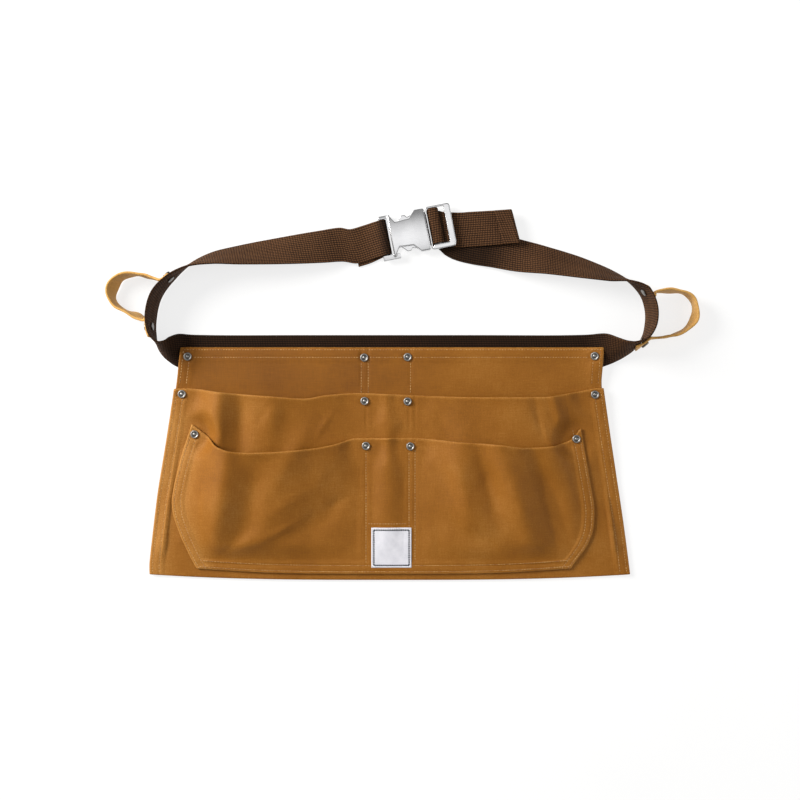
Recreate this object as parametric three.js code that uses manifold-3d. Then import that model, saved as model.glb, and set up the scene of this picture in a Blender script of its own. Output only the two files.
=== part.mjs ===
// A carpenter's canvas nail apron, laid flat on its back with its belt fastened.
// Millimetres. +X is across the apron, +Y runs from the bottom hem towards the belt, +Z is up.
// The origin is in the middle of the flat stretch of the back panel that rests on the table.

import * as THREE from 'three';
import { mergeVertices } from 'three/addons/utils/BufferGeometryUtils.js';
import Module from 'manifold-3d';

const wasm = await Module();
wasm.setup();

// Driving dimensions of the apron
const apronTopWidth = 457;
const apronBottomWidth = 521;
const apronHeight = 251;
const originAboveHem = 64;
const sideBow = 1.5;
const hemSag = 6;
const backCanvas = 1.4;
const pocketCanvas = 1.2;
const layerGap = 0.35;
const pocketGap = 1.1;
const seatGap = 0.3;

// Driving dimensions of the pockets
const upperPocketHeight = 207;
const upperPocketOverhang = 1.6;
const lowerPocketHeight = 168;
const lowerPocketHemMargin = 6.5;
const slotWidth = 48;
const slotOffset = -3;
const seamFlat = 6.5;
const edgeFlat = 13;
const upperPocketDepth = 14;
const lowerPocketDepth = 20;
const slotDepth = 6;
const foldHeight = 4;

// Driving dimensions of the label
const labelSize = 42.5;
const labelThickness = 0.8;
const labelGap = 0.8;
const labelAboveHem = 12;
const labelOffset = 3.5;

// Driving dimensions of the belt
const beltWidth = 38;
const beltThickness = 2;
const beltUnderTop = 5;
const beltClearance = 1.4;
const beltFloorGap = 0.6;
const backOverBelt = 1;
const waistHalfSpan = 277;
const waistDepth = 132;
const foldBackLength = 34;
const tailLength = 72;
const tailRise = 6;
const tailFold = 18;

// Driving dimensions of the side release buckle
const buckleAngle = THREE.MathUtils.degToRad(11);
const buckleX = 32;
const buckleLift = 1;
const socketLength = 40.5;
const socketWidth = 46;
const socketHeight = 11;
const socketWall = 1.8;
const socketSideWall = 4.4;
const wingLength = 10;
const wingWidth = 3.4;
const wingHeight = 8.5;
const fixedBarRadius = 2.2;
const notchDepth = 9.5;
const clipWidth = 47;
const clipHeight = 5.6;
const clipGap = 1.6;
const railWidth = 2.2;
const baseBarWidth = 5.5;
const middleBarWidth = 8;
const middleBarHeight = 3;
const middleBarCorner = 1.4;
const endBarWidth = 7;
const threadWindow = 3.4;
const outletWindow = 8.4;
const prongWidth = 4.6;
const prongHeight = 4.2;
const prongClearance = 0.6;
const wrapGap = 0.3;

// Driving dimensions of the hammer loops
const loopWidth = 20;
const loopThickness = 2.6;
const loopReach = 57;
const loopTab = 10;
const loopLead = 8;
const loopPeel = 1.4;
const loopGap = 0.7;

// Driving dimensions of the rivets
const rivetRadius = 4.5;
const rivetBackRadius = 4;
const rivetShankRadius = 1.5;
const rivetCapHeight = 1.5;
const rivetBackHeight = 0.8;
const rivetHoleClearance = 0.35;
const rivetHoleReach = 20;

// How finely the solids are cut
const cellWidth = 15;
const fewestCells = 4;
const beltStepsPerRow = 3;
const loopStepsPerRow = 4;
const rivetSides = 8;

// Materials

function makeMaterial(color, roughness, metalness) {
  return new THREE.MeshStandardMaterial({ color, roughness, metalness });
}

const canvasMaterial = makeMaterial(0xa9743a, 0.9, 0);
const webbingMaterial = makeMaterial(0x3f281a, 0.85, 0);
const buckleMaterial = makeMaterial(0xc9cacd, 0.25, 1);
const rivetMaterial = makeMaterial(0x8d8a86, 0.4, 1);
const labelMaterial = makeMaterial(0xd9d6e2, 0.8, 0);

// Small helpers of shape

const { clamp, lerp, smoothstep } = THREE.MathUtils;

// Reads a table of shares and values at one share: smooth, and never past the rows' own values.
function readTable(rows, share) {
  const last = rows.length - 1;
  if (share <= rows[0].at) return rows[0].value;
  if (share >= rows[last].at) return rows[last].value;
  const pitch = (index) => (
    (rows[index + 1].value - rows[index].value) / (rows[index + 1].at - rows[index].at)
  );
  const slope = (index) => {
    const before = pitch(Math.max(0, index - 1));
    const after = pitch(Math.min(last - 1, index));
    return before * after <= 0 ? 0 : (2 * before * after) / (before + after);
  };
  const index = rows.findIndex((row) => share < row.at) - 1;
  const span = rows[index + 1].at - rows[index].at;
  const part = (share - rows[index].at) / span;
  const rise = rows[index + 1].value - rows[index].value;
  const ease = part * part * (3 - 2 * part);
  const leave = part * (1 - part) ** 2 * span * slope(index);
  const arrive = part * part * (1 - part) * span * slope(index + 1);
  return rows[index].value + rise * ease + leave - arrive;
}

// Even steps between two values, without the first one.
function stepsBetween(low, high, count) {
  return Array.from({ length: count }, (unused, index) => lerp(low, high, (index + 1) / count));
}

// A closed mesh from rings of equal length, capped at both ends.
function loftRings(rings) {
  const sides = rings[0].length;
  const positions = rings.flat().flatMap((point) => [point.x, point.y, point.z]);
  const triangles = [];
  for (let ring = 0; ring < rings.length - 1; ring += 1) {
    for (let side = 0; side < sides; side += 1) {
      const next = (side + 1) % sides;
      const near = ring * sides;
      const far = near + sides;
      triangles.push(near + side, near + next, far + next, near + side, far + next, far + side);
    }
  }
  const last = (rings.length - 1) * sides;
  for (let side = 1; side < sides - 1; side += 1) {
    triangles.push(0, side + 1, side, last, last + side, last + side + 1);
  }
  return outwardGeometry(positions, triangles);
}

// Turns every triangle round if the mesh came out with its inside showing.
function outwardGeometry(positions, triangles) {
  let volume = 0;
  const corner = (index) => new THREE.Vector3().fromArray(positions, index * 3);
  for (let index = 0; index < triangles.length; index += 3) {
    const [a, b, c] = [0, 1, 2].map((offset) => corner(triangles[index + offset]));
    volume += a.dot(b.cross(c));
  }
  const ordered = volume < 0 ? triangles.slice().reverse() : triangles;
  const geometry = new THREE.BufferGeometry();
  geometry.setAttribute('position', new THREE.Float32BufferAttribute(positions, 3));
  geometry.setIndex(ordered);
  return geometry;
}

// A sheet of cloth: a grid of places on the ground, with its underside and its top given there.
function sheetGeometry(grid, underside, topside) {
  const columns = grid.length;
  const rows = grid[0].length;
  const positions = [];
  for (const level of [underside, topside]) {
    for (const column of grid) {
      for (const place of column) positions.push(place.x, place.y, level(place.x, place.y));
    }
  }
  const lift = columns * rows;
  const at = (column, row) => column * rows + row;
  const triangles = [];
  for (let column = 0; column < columns - 1; column += 1) {
    for (let row = 0; row < rows - 1; row += 1) {
      const [a, b] = [at(column, row), at(column + 1, row)];
      const [d, c] = [at(column, row + 1), at(column + 1, row + 1)];
      triangles.push(a, c, b, a, d, c);
      triangles.push(a + lift, b + lift, c + lift, a + lift, c + lift, d + lift);
    }
  }
  const rim = [];
  for (let column = 0; column < columns - 1; column += 1) rim.push(at(column, 0));
  for (let row = 0; row < rows - 1; row += 1) rim.push(at(columns - 1, row));
  for (let column = columns - 1; column > 0; column -= 1) rim.push(at(column, rows - 1));
  for (let row = rows - 1; row > 0; row -= 1) rim.push(at(0, row));
  rim.forEach((low, index) => {
    const next = rim[(index + 1) % rim.length];
    triangles.push(low, next, next + lift, low, next + lift, low + lift);
  });
  return outwardGeometry(positions, triangles);
}

// Solids for cutting and joining

function toSolid(geometry) {
  const bare = geometry.index ? geometry.clone() : geometry;
  bare.deleteAttribute('normal');
  bare.deleteAttribute('uv');
  const merged = mergeVertices(bare, 1e-4);
  const mesh = new wasm.Mesh({
    numProp: 3,
    vertProperties: new Float32Array(merged.attributes.position.array),
    triVerts: new Uint32Array(merged.index.array),
  });
  return new wasm.Manifold(mesh);
}

function toGeometry(solid) {
  const mesh = solid.getMesh();
  const geometry = new THREE.BufferGeometry();
  geometry.setAttribute('position', new THREE.Float32BufferAttribute(mesh.vertProperties, 3));
  geometry.setIndex(Array.from(mesh.triVerts));
  return geometry;
}

function blockSolid(low, high) {
  const size = new THREE.Vector3().subVectors(high, low);
  const middle = new THREE.Vector3().addVectors(low, high).multiplyScalar(0.5);
  const block = new THREE.BoxGeometry(size.x, size.y, size.z);
  return toSolid(block.translate(middle.x, middle.y, middle.z));
}

function extrudedSolid(shape, low, high, options = {}) {
  const bevel = options.bevel ?? 0;
  const geometry = new THREE.ExtrudeGeometry(shape, {
    depth: high - low - 2 * bevel,
    bevelEnabled: bevel > 0,
    bevelThickness: bevel,
    bevelSize: bevel,
    bevelOffset: -bevel,
    bevelSegments: 2,
    curveSegments: options.curveSegments ?? 4,
  });
  return toSolid(geometry.translate(0, 0, low + bevel));
}

function roundedRectangle(low, high, radius) {
  const shape = new THREE.Shape();
  shape.moveTo(low.x + radius, low.y);
  shape.lineTo(high.x - radius, low.y);
  shape.absarc(high.x - radius, low.y + radius, radius, -Math.PI / 2, 0);
  shape.lineTo(high.x, high.y - radius);
  shape.absarc(high.x - radius, high.y - radius, radius, 0, Math.PI / 2);
  shape.lineTo(low.x + radius, high.y);
  shape.absarc(low.x + radius, high.y - radius, radius, Math.PI / 2, Math.PI);
  shape.lineTo(low.x, low.y + radius);
  shape.absarc(low.x + radius, low.y + radius, radius, Math.PI, 1.5 * Math.PI);
  return shape;
}

// A bar across the buckle: its section lies in the plane of length and height.
function crossBarSolid(shape, halfLength) {
  const geometry = new THREE.ExtrudeGeometry(shape, {
    depth: 2 * halfLength,
    bevelEnabled: false,
    curveSegments: 3,
  });
  return toSolid(geometry.rotateX(Math.PI / 2).translate(0, halfLength, 0));
}

// Outline of the apron

const hemY = -originAboveHem;
const topY = hemY + apronHeight;

function apronHalfWidth(y) {
  const share = clamp((y - hemY) / apronHeight, 0, 1);
  return lerp(apronBottomWidth, apronTopWidth, share) / 2 + sideBow * Math.sin(Math.PI * share);
}

// The bottom hem hangs lowest in the middle; across runs from -1 at the left to 1 at the right.
function hemEdgeY(across) {
  return hemY + hemSag * Math.abs(across) ** 3;
}

const seamLeftX = slotOffset - slotWidth / 2;
const seamRightX = slotOffset + slotWidth / 2;

// Height of the back panel's underside: it lies over the belt and slopes down to the table.
const beltY = topY - beltUnderTop;
const overBelt = beltClearance + beltThickness + backOverBelt;
const overRivetBack = rivetBackHeight + 2 * seatGap;
const slopeRows = [
  { at: 0, value: overBelt },
  { at: 0.14, value: overBelt },
  { at: 0.34, value: lerp(overRivetBack, overBelt, 0.3) },
  { at: 0.46, value: overRivetBack },
  { at: 0.6, value: 0 },
  { at: 1, value: 0 },
];

function backUnderside(x, y) {
  return readTable(slopeRows, (topY - y) / apronHeight);
}

// Thickness measured straight up, so that the cloth keeps its own thickness on a slope.
function liftBy(level, thickness, gap = 0) {
  const probe = 1;
  return (x, y) => {
    const slopeX = (level(x + probe, y) - level(x - probe, y)) / (2 * probe);
    const slopeY = (level(x, y + probe) - level(x, y - probe)) / (2 * probe);
    return level(x, y) + thickness * Math.hypot(1, slopeX, slopeY) + gap;
  };
}

const upperMouthTop = hemY + upperPocketHeight;
const lowerMouthTop = hemY + lowerPocketHeight;

// Rivets through the cloth: inset from the corner or seam they sit at, and down from the edge.
const rivetRows = [
  { name: 'rivet_top_left', place: 'left', inset: 8.2, y: topY - 9.5, row: 'top' },
  { name: 'rivet_top_seam_left', place: 'seamLeft', inset: -2, y: topY - 10.5, row: 'top' },
  { name: 'rivet_top_seam_right', place: 'seamRight', inset: -3, y: topY - 10, row: 'top' },
  { name: 'rivet_top_right', place: 'right', inset: 9, y: topY - 9, row: 'top' },
  { name: 'rivet_upper_left', place: 'left', inset: 7.5, y: upperMouthTop - 6, row: 'upper' },
  { name: 'rivet_upper_seam_left', place: 'seamLeft', inset: -1.5, y: upperMouthTop - 13.5, row: 'upper' },
  { name: 'rivet_upper_seam_right', place: 'seamRight', inset: -3, y: upperMouthTop - 14, row: 'upper' },
  { name: 'rivet_upper_right', place: 'right', inset: 8.5, y: upperMouthTop - 6.5, row: 'upper' },
  { name: 'rivet_lower_left', place: 'lowerLeft', inset: 6.5, y: lowerMouthTop - 10.5, row: 'lower' },
  { name: 'rivet_lower_seam_left', place: 'seamLeft', inset: 0, y: lowerMouthTop - 23, row: 'lower' },
  { name: 'rivet_lower_seam_right', place: 'seamRight', inset: 0, y: lowerMouthTop - 23.5, row: 'lower' },
  { name: 'rivet_lower_right', place: 'lowerRight', inset: 7, y: lowerMouthTop - 15.5, row: 'lower' },
];

// The lower pocket's side edges: how far each lies inside the apron's side at that height.
const lowerLeftInsetRows = [
  { at: 0, value: 0.222 },
  { at: 0.2, value: 0.145 },
  { at: 0.33, value: 0.1 },
  { at: 0.43, value: 0.072 },
  { at: 0.52, value: 0.06 },
  { at: 0.78, value: 0.072 },
  { at: 1, value: 0.098 },
];
const lowerRightInsetRows = [
  { at: 0, value: 0.28 },
  { at: 0.09, value: 0.233 },
  { at: 0.25, value: 0.151 },
  { at: 0.34, value: 0.125 },
  { at: 0.48, value: 0.111 },
  { at: 0.7, value: 0.116 },
  { at: 1, value: 0.123 },
];

function lowerSideX(side, y) {
  const share = clamp((y - hemY) / lowerPocketHeight, 0, 1);
  const rows = side < 0 ? lowerLeftInsetRows : lowerRightInsetRows;
  return side * apronHalfWidth(y) * (1 - readTable(rows, share));
}

function rivetX(row) {
  if (row.place === 'left') return -apronHalfWidth(row.y) + row.inset;
  if (row.place === 'right') return apronHalfWidth(row.y) - row.inset;
  if (row.place === 'lowerLeft') return lowerSideX(-1, row.y) + row.inset;
  if (row.place === 'lowerRight') return lowerSideX(1, row.y) - row.inset;
  return (row.place === 'seamLeft' ? seamLeftX : seamRightX) + row.inset;
}

const rivetPlaces = rivetRows.map((row) => ({ ...row, x: rivetX(row) }));

// Cloth lies flat round each rivet and rises away from it.
function awayFromRivets(x, y, rows) {
  const flatRadius = rivetRadius + 8;
  const riseRadius = rivetRadius + 26;
  let share = 1;
  for (const place of rivetPlaces) {
    if (rows.includes(place.row)) {
      share *= smoothstep(Math.hypot(x - place.x, y - place.y), flatRadius, riseRadius);
    }
  }
  return share;
}

// Pocket forms. Each row is one bay between seams: where its crest lies across the bay, and how
// much of the pocket's depth it keeps at the mouth, half way down and above the hem.
const bayForms = {
  upper: [
    { bay: 'left', crest: 0.3, mouth: 1, middle: 0.62, foot: 0.2 },
    { bay: 'slot', crest: 0.5, mouth: 1, middle: 0.5, foot: 0.1 },
    { bay: 'right', crest: 0.6, mouth: 0.86, middle: 0.55, foot: 0.2 },
  ],
  lower: [
    { bay: 'left', crest: 0.3, mouth: 1, middle: 0.9, foot: 0.35 },
    { bay: 'slot', crest: 0.5, mouth: 1, middle: 0.6, foot: 0.2 },
    { bay: 'right', crest: 0.52, mouth: 0.8, middle: 0.72, foot: 0.3 },
  ],
};

// Soft folds: centre across and up the panel, half width and half length as shares of the
// apron's height, the turn of the ridge in degrees, and its height as a share of foldHeight.
const foldRows = {
  upper: [
    { across: -0.67, up: 1.03, half: 0.03, run: 0.11, turn: 10, lift: -0.8 },
    { across: -0.42, up: 0.83, half: 0.05, run: 0.12, turn: -24, lift: 0.6 },
    { across: 0.36, up: 0.82, half: 0.05, run: 0.14, turn: 24, lift: 0.7 },
    { across: 0.72, up: 0.84, half: 0.045, run: 0.12, turn: 12, lift: 0.6 },
    { across: -0.955, up: 0.4, half: 0.02, run: 0.3, turn: -7, lift: 0.55 },
    { across: 0.945, up: 0.42, half: 0.022, run: 0.3, turn: 7, lift: 0.6 },
  ],
  lower: [
    { across: -0.61, up: 0.23, half: 0.04, run: 0.13, turn: -61, lift: 0.8 },
    { across: -0.32, up: 0.39, half: 0.055, run: 0.18, turn: -57, lift: -1 },
    { across: 0.16, up: 0.2, half: 0.03, run: 0.1, turn: 5, lift: 0.5 },
    { across: 0.31, up: 0.35, half: 0.035, run: 0.2, turn: 40, lift: -0.7 },
    { across: 0.375, up: 0.43, half: 0.04, run: 0.27, turn: 32, lift: 0.9 },
    { across: 0.5, up: 0.41, half: 0.04, run: 0.22, turn: 34, lift: -0.9 },
    { across: 0.63, up: 0.49, half: 0.045, run: 0.23, turn: 28, lift: 0.9 },
    { across: 0.75, up: 0.5, half: 0.03, run: 0.18, turn: 20, lift: -0.7 },
  ],
};

function foldLift(rows, x, y) {
  let lift = 0;
  for (const fold of rows) {
    const turn = THREE.MathUtils.degToRad(fold.turn);
    const dx = x - fold.across * apronHalfWidth(y);
    const dy = y - (hemY + fold.up * lowerPocketHeight);
    const beside = (dx * Math.cos(turn) + dy * Math.sin(turn)) / (fold.half * apronHeight);
    const along = (dy * Math.cos(turn) - dx * Math.sin(turn)) / (fold.run * apronHeight);
    lift += fold.lift * foldHeight * Math.exp(-beside * beside - along * along);
  }
  return lift;
}

// The three bays of a panel at one height, between its side edges and the two centre seams.
function baysAt(leftX, rightX) {
  return [
    { low: leftX + edgeFlat, high: seamLeftX - seamFlat },
    { low: seamLeftX + seamFlat, high: seamRightX - seamFlat },
    { low: seamRightX + seamFlat, high: rightX - edgeFlat },
  ];
}

function pocketLift(panel, x, y) {
  const form = bayForms[panel.key];
  const height = panel.mouthY - hemY;
  const up = clamp((y - hemY) / height, 0, 1);
  const bays = baysAt(panel.leftX(y), panel.rightX(y));
  const index = bays.findIndex((bay) => x > bay.low && x < bay.high);
  const keep = awayFromRivets(x, y, panel.rivetRows);
  const hemFade = smoothstep(y - hemY, panel.hemFlat, panel.hemFlat + 30);
  const inward = Math.min(x - panel.leftX(y), panel.rightX(y) - x);
  const folds = foldLift(foldRows[panel.key], x, y) * hemFade * keep * smoothstep(inward, 4, 26);
  if (index < 0) return Math.max(0, panel.sideFolds ? folds : 0);
  const bay = bays[index];
  const row = form[index];
  const share = (x - bay.low) / (bay.high - bay.low);
  const climb = share < row.crest ? share / row.crest : (1 - share) / (1 - row.crest);
  const round = Math.sin((Math.PI / 2) * climb) ** 1.3;
  const downRows = [
    { at: 0, value: row.foot * 0.2 },
    { at: 0.12, value: row.foot },
    { at: 0.5, value: row.middle },
    { at: 1, value: row.mouth },
  ];
  const depth = (row.bay === 'slot' ? slotDepth : panel.depth) * readTable(downRows, up);
  const seamFade = smoothstep(Math.min(share, 1 - share), 0, 0.16);
  return Math.max(0, (depth * round * keep + folds * seamFade) * hemFade);
}

const upperPanel = {
  key: 'upper',
  leftX: (y) => -apronHalfWidth(y) - upperPocketOverhang,
  rightX: (y) => apronHalfWidth(y) + upperPocketOverhang,
  mouthY: upperMouthTop,
  depth: upperPocketDepth,
  hemFlat: 10,
  rivetRows: ['upper', 'lower'],
  sideFolds: true,
};

const lowerPanel = {
  key: 'lower',
  leftX: (y) => lowerSideX(-1, y),
  rightX: (y) => lowerSideX(1, y),
  mouthY: lowerMouthTop,
  depth: lowerPocketDepth,
  hemFlat: 12,
  rivetRows: ['lower'],
  sideFolds: false,
};

const backTop = liftBy(backUnderside, backCanvas);
const upperUnderside = (x, y) => backTop(x, y) + layerGap + pocketLift(upperPanel, x, y);
const upperTop = liftBy(upperUnderside, pocketCanvas);
const lowerUnderside = (x, y) => upperTop(x, y) + pocketGap + pocketLift(lowerPanel, x, y);
const lowerTop = liftBy(lowerUnderside, pocketCanvas);
const labelUnderside = (x, y) => lowerTop(x, y) + labelGap;
const labelTop = liftBy(labelUnderside, labelThickness);

// Mouth edges: drop below the panel's highest line, as a share of that panel's height.
const upperMouthRows = [
  { at: -1, value: 0.004 },
  { at: -0.95, value: 0.002 },
  { at: -0.76, value: 0.025 },
  { at: -0.54, value: 0.044 },
  { at: -0.385, value: 0.055 },
  { at: -0.285, value: 0.037 },
  { at: -0.14, value: 0.026 },
  { at: 0.08, value: 0.037 },
  { at: 0.42, value: 0.048 },
  { at: 0.7, value: 0.047 },
  { at: 0.86, value: 0.023 },
  { at: 0.97, value: 0 },
];
const lowerMouthRows = [
  { at: -1, value: 0 },
  { at: -0.912, value: 0.07 },
  { at: -0.818, value: 0.144 },
  { at: -0.742, value: 0.172 },
  { at: -0.663, value: 0.179 },
  { at: -0.452, value: 0.166 },
  { at: -0.357, value: 0.154 },
  { at: -0.258, value: 0.131 },
  { at: -0.14, value: 0.09 },
  { at: 0.098, value: 0.089 },
  { at: 0.394, value: 0.117 },
  { at: 0.541, value: 0.129 },
  { at: 0.69, value: 0.149 },
  { at: 0.826, value: 0.14 },
  { at: 0.938, value: 0.102 },
  { at: 1, value: 0.027 },
];

function mouthEdgeY(panel, rows, across) {
  return panel.mouthY - readTable(rows, across) * (panel.mouthY - hemY);
}

// Columns of a panel: shares across each bay, closer together at the seams and side hems.
function panelGrid(leftX, rightX, lowEdge, highEdge, rowCount) {
  const reach = (y) => [leftX(y), ...baysAt(leftX(y), rightX(y)).flatMap((bay) => [bay.low, bay.high])];
  const stops = [...reach(0), rightX(0)];
  const shares = [0];
  for (let index = 1; index < stops.length; index += 1) {
    const inBay = index % 2 === 0;
    const span = stops[index] - stops[index - 1];
    const count = Math.max(inBay ? fewestCells : 1, Math.round(span / cellWidth));
    shares.push(...stepsBetween(index - 1, index, count));
  }
  const middle = (leftX(0) + rightX(0)) / 2;
  const half = (rightX(0) - leftX(0)) / 2;
  return shares.map((share) => {
    const index = Math.min(Math.floor(share), stops.length - 2);
    const xAt = (y) => {
      const here = [...reach(y), rightX(y)];
      return lerp(here[index], here[index + 1], share - index);
    };
    const across = clamp((xAt(0) - middle) / half, -1, 1);
    const [low, high] = [lowEdge(across), highEdge(across)];
    return [0, ...stepsBetween(0, 1, rowCount)].map((up) => {
      const y = lerp(low, high, up);
      return new THREE.Vector2(xAt(y), y);
    });
  });
}

function backPanelGrid() {
  const leftX = (y) => -apronHalfWidth(y);
  return panelGrid(leftX, apronHalfWidth, hemEdgeY, () => topY, 10);
}

function upperPanelGrid() {
  const mouth = (across) => mouthEdgeY(upperPanel, upperMouthRows, across);
  return panelGrid(upperPanel.leftX, upperPanel.rightX, hemEdgeY, mouth, 12);
}

function lowerPanelGrid() {
  const low = (across) => hemEdgeY(across) + lowerPocketHemMargin;
  const mouth = (across) => mouthEdgeY(lowerPanel, lowerMouthRows, across);
  return panelGrid(lowerPanel.leftX, lowerPanel.rightX, low, mouth, 12);
}

function labelGrid() {
  const lowY = hemY + labelAboveHem;
  const columns = [0, ...stepsBetween(0, 1, 4)];
  return columns.map((across) => columns.map((up) => {
    const x = slotOffset + labelOffset + (across - 0.5) * labelSize;
    return new THREE.Vector2(x, lowY + up * labelSize);
  }));
}

// Frame of the buckle: along its length, across it, and straight up

const buckleY = beltY + waistDepth;
const alongBuckle = new THREE.Vector3(Math.cos(buckleAngle), Math.sin(buckleAngle), 0);
const acrossBuckle = new THREE.Vector3(-Math.sin(buckleAngle), Math.cos(buckleAngle), 0);

function buckleToPart(along, across, up) {
  return new THREE.Vector3(buckleX, buckleY, up)
    .addScaledVector(alongBuckle, along)
    .addScaledVector(acrossBuckle, across);
}

// Stations along the buckle
const socketRight = 7.5;
const socketLeft = socketRight - socketLength;
const wingLeft = socketLeft - wingLength;
const fixedBarAlong = socketLeft - wingLength * 0.62;
const wrapRadius = beltThickness / 2 + wrapGap;
const lowLayer = beltThickness / 2 + seatGap / 2;
const highLayer = lowLayer + beltThickness + seatGap;
const frameBottom = highLayer + beltThickness / 2 + seatGap;
const frameTop = frameBottom + clipHeight;
const fixedBarUp = beltThickness + fixedBarRadius + 1.6;
const baseRight = socketRight + clipGap;
const middleBarLeft = baseRight + threadWindow;
const middleBarRight = middleBarLeft + middleBarWidth;
const endBarLeft = middleBarRight + outletWindow;
const endBarRight = endBarLeft + endBarWidth;
const middleBarTop = frameBottom + middleBarHeight;

// The belt is one strap. Stations hold its centre line and the way towards its top edge.

function station(centre, side) {
  return { centre, side: side.clone().normalize() };
}

// A stretch of strap round a bar: angles in degrees, 0 along the buckle and 90 straight up.
function wrapStations(along, up, radius, fromAngle, toAngle, steps, across) {
  const side = acrossBuckle.clone().negate();
  return [0, ...stepsBetween(0, 1, steps)].map((share) => {
    const angle = THREE.MathUtils.degToRad(lerp(fromAngle, toAngle, share));
    const place = buckleToPart(along + radius * Math.cos(angle), across, up + radius * Math.sin(angle));
    return station(place, side);
  });
}

// The fixed end comes from under the strap, turns round the socket's bar and lies back on itself.
function fixedEndStations() {
  const side = acrossBuckle.clone().negate();
  const radius = fixedBarRadius + wrapRadius;
  const start = fixedBarAlong - foldBackLength;
  const rows = [
    { along: start, across: -3, up: lowLayer },
    { along: lerp(start, fixedBarAlong, 0.4), across: -1.8, up: lowLayer },
    { along: lerp(start, fixedBarAlong, 0.76), across: -0.4, up: lowLayer },
  ];
  const under = rows.map((row) => station(buckleToPart(row.along, row.across, row.up), side));
  const wrap = wrapStations(fixedBarAlong, fixedBarUp, radius, -80, 100, 6, 0);
  const overRows = [
    { along: lerp(start, fixedBarAlong, 0.72), across: -0.4, up: highLayer + 2.2 },
    { along: lerp(start, fixedBarAlong, 0.42), across: -1.4, up: highLayer },
    { along: lerp(start, fixedBarAlong, -0.05), across: -2.6, up: highLayer },
  ];
  const over = overRows.map((row) => station(buckleToPart(row.along, row.across, row.up), side));
  return [...under, ...wrap, ...over];
}

// The belt's lower edge on the table, going anticlockwise from the socket: shares of the half
// span and depth of the waist from the middle of the front run, and its roll in degrees.
const waistRows = [
  { across: -0.2, along: 1.028, roll: 6, lift: 0 },
  { across: -0.279, along: 1.003, roll: 17, lift: 0 },
  { across: -0.436, along: 0.945, roll: 35, lift: 0 },
  { across: -0.593, along: 0.88, roll: 52, lift: 0 },
  { across: -0.704, along: 0.82, roll: 66, lift: 0 },
  { across: -0.787, along: 0.728, roll: 80, lift: 0 },
  { across: -0.85, along: 0.6, roll: 92, lift: 0 },
  { across: -0.898, along: 0.462, roll: 97, lift: 0 },
  { across: -0.919, along: 0.303, roll: 98, lift: 0 },
  { across: -0.922, along: 0.159, roll: 95, lift: 0 },
  { across: -0.913, along: 0.05, roll: 79, lift: 0 },
  { across: -0.893, along: -0.025, roll: 44, lift: 0.3 },
  { across: -0.866, along: -0.08, roll: 7, lift: 0.8 },
  { across: -0.836, along: -0.118, roll: 0, lift: 1 },
  { across: -0.8, along: -0.138, roll: 0, lift: 1 },
  { across: -0.7, along: -0.144, roll: 0, lift: 1 },
  { across: -0.35, along: -0.144, roll: 0, lift: 1 },
  { across: 0, along: -0.144, roll: 0, lift: 1 },
  { across: 0.35, along: -0.144, roll: 0, lift: 1 },
  { across: 0.7, along: -0.144, roll: 0, lift: 1 },
  { across: 0.8, along: -0.136, roll: 0, lift: 1 },
  { across: 0.842, along: -0.108, roll: 0, lift: 1 },
  { across: 0.88, along: -0.074, roll: 18, lift: 0.7 },
  { across: 0.918, along: -0.028, roll: 53, lift: 0.2 },
  { across: 0.953, along: 0.03, roll: 78, lift: 0 },
  { across: 0.984, along: 0.12, roll: 91, lift: 0 },
  { across: 0.997, along: 0.235, roll: 98, lift: 0 },
  { across: 0.996, along: 0.36, roll: 100, lift: 0 },
  { across: 0.974, along: 0.485, roll: 98, lift: 0 },
  { across: 0.926, along: 0.595, roll: 90, lift: 0 },
  { across: 0.855, along: 0.685, roll: 73, lift: 0 },
  { across: 0.742, along: 0.785, roll: 52, lift: 0 },
  { across: 0.62, along: 0.866, roll: 34, lift: 0 },
  { across: 0.51, along: 0.93, roll: 16, lift: 0 },
  { across: 0.43, along: 0.976, roll: 4, lift: 0 },
];

// The strap stands square to its own centre line, so the headings are settled in a few passes.
function waistStations() {
  const passes = 6;
  const edges = waistRows.map((row) => new THREE.Vector3(
    row.across * waistHalfSpan,
    beltY + row.along * waistDepth,
    0,
  ));
  let centres = edges;
  let stations = [];
  for (let pass = 0; pass < passes; pass += 1) {
    stations = waistRows.map((row, index) => {
      const before = centres[Math.max(0, index - 1)];
      const after = centres[Math.min(centres.length - 1, index + 1)];
      const heading = new THREE.Vector3().subVectors(after, before);
      const roll = THREE.MathUtils.degToRad(row.roll);
      const side = new THREE.Vector3(-heading.y, heading.x, 0).setLength(Math.cos(roll));
      side.z = Math.sin(roll);
      const edge = edges[index].clone();
      const rest = beltFloorGap + (beltThickness / 2) * Math.abs(Math.cos(roll));
      edge.z = lerp(rest, beltClearance + beltThickness / 2, row.lift);
      return station(edge.addScaledVector(side, beltWidth / 2), side);
    });
    centres = stations.map((item) => item.centre);
  }
  return stations;
}

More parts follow.
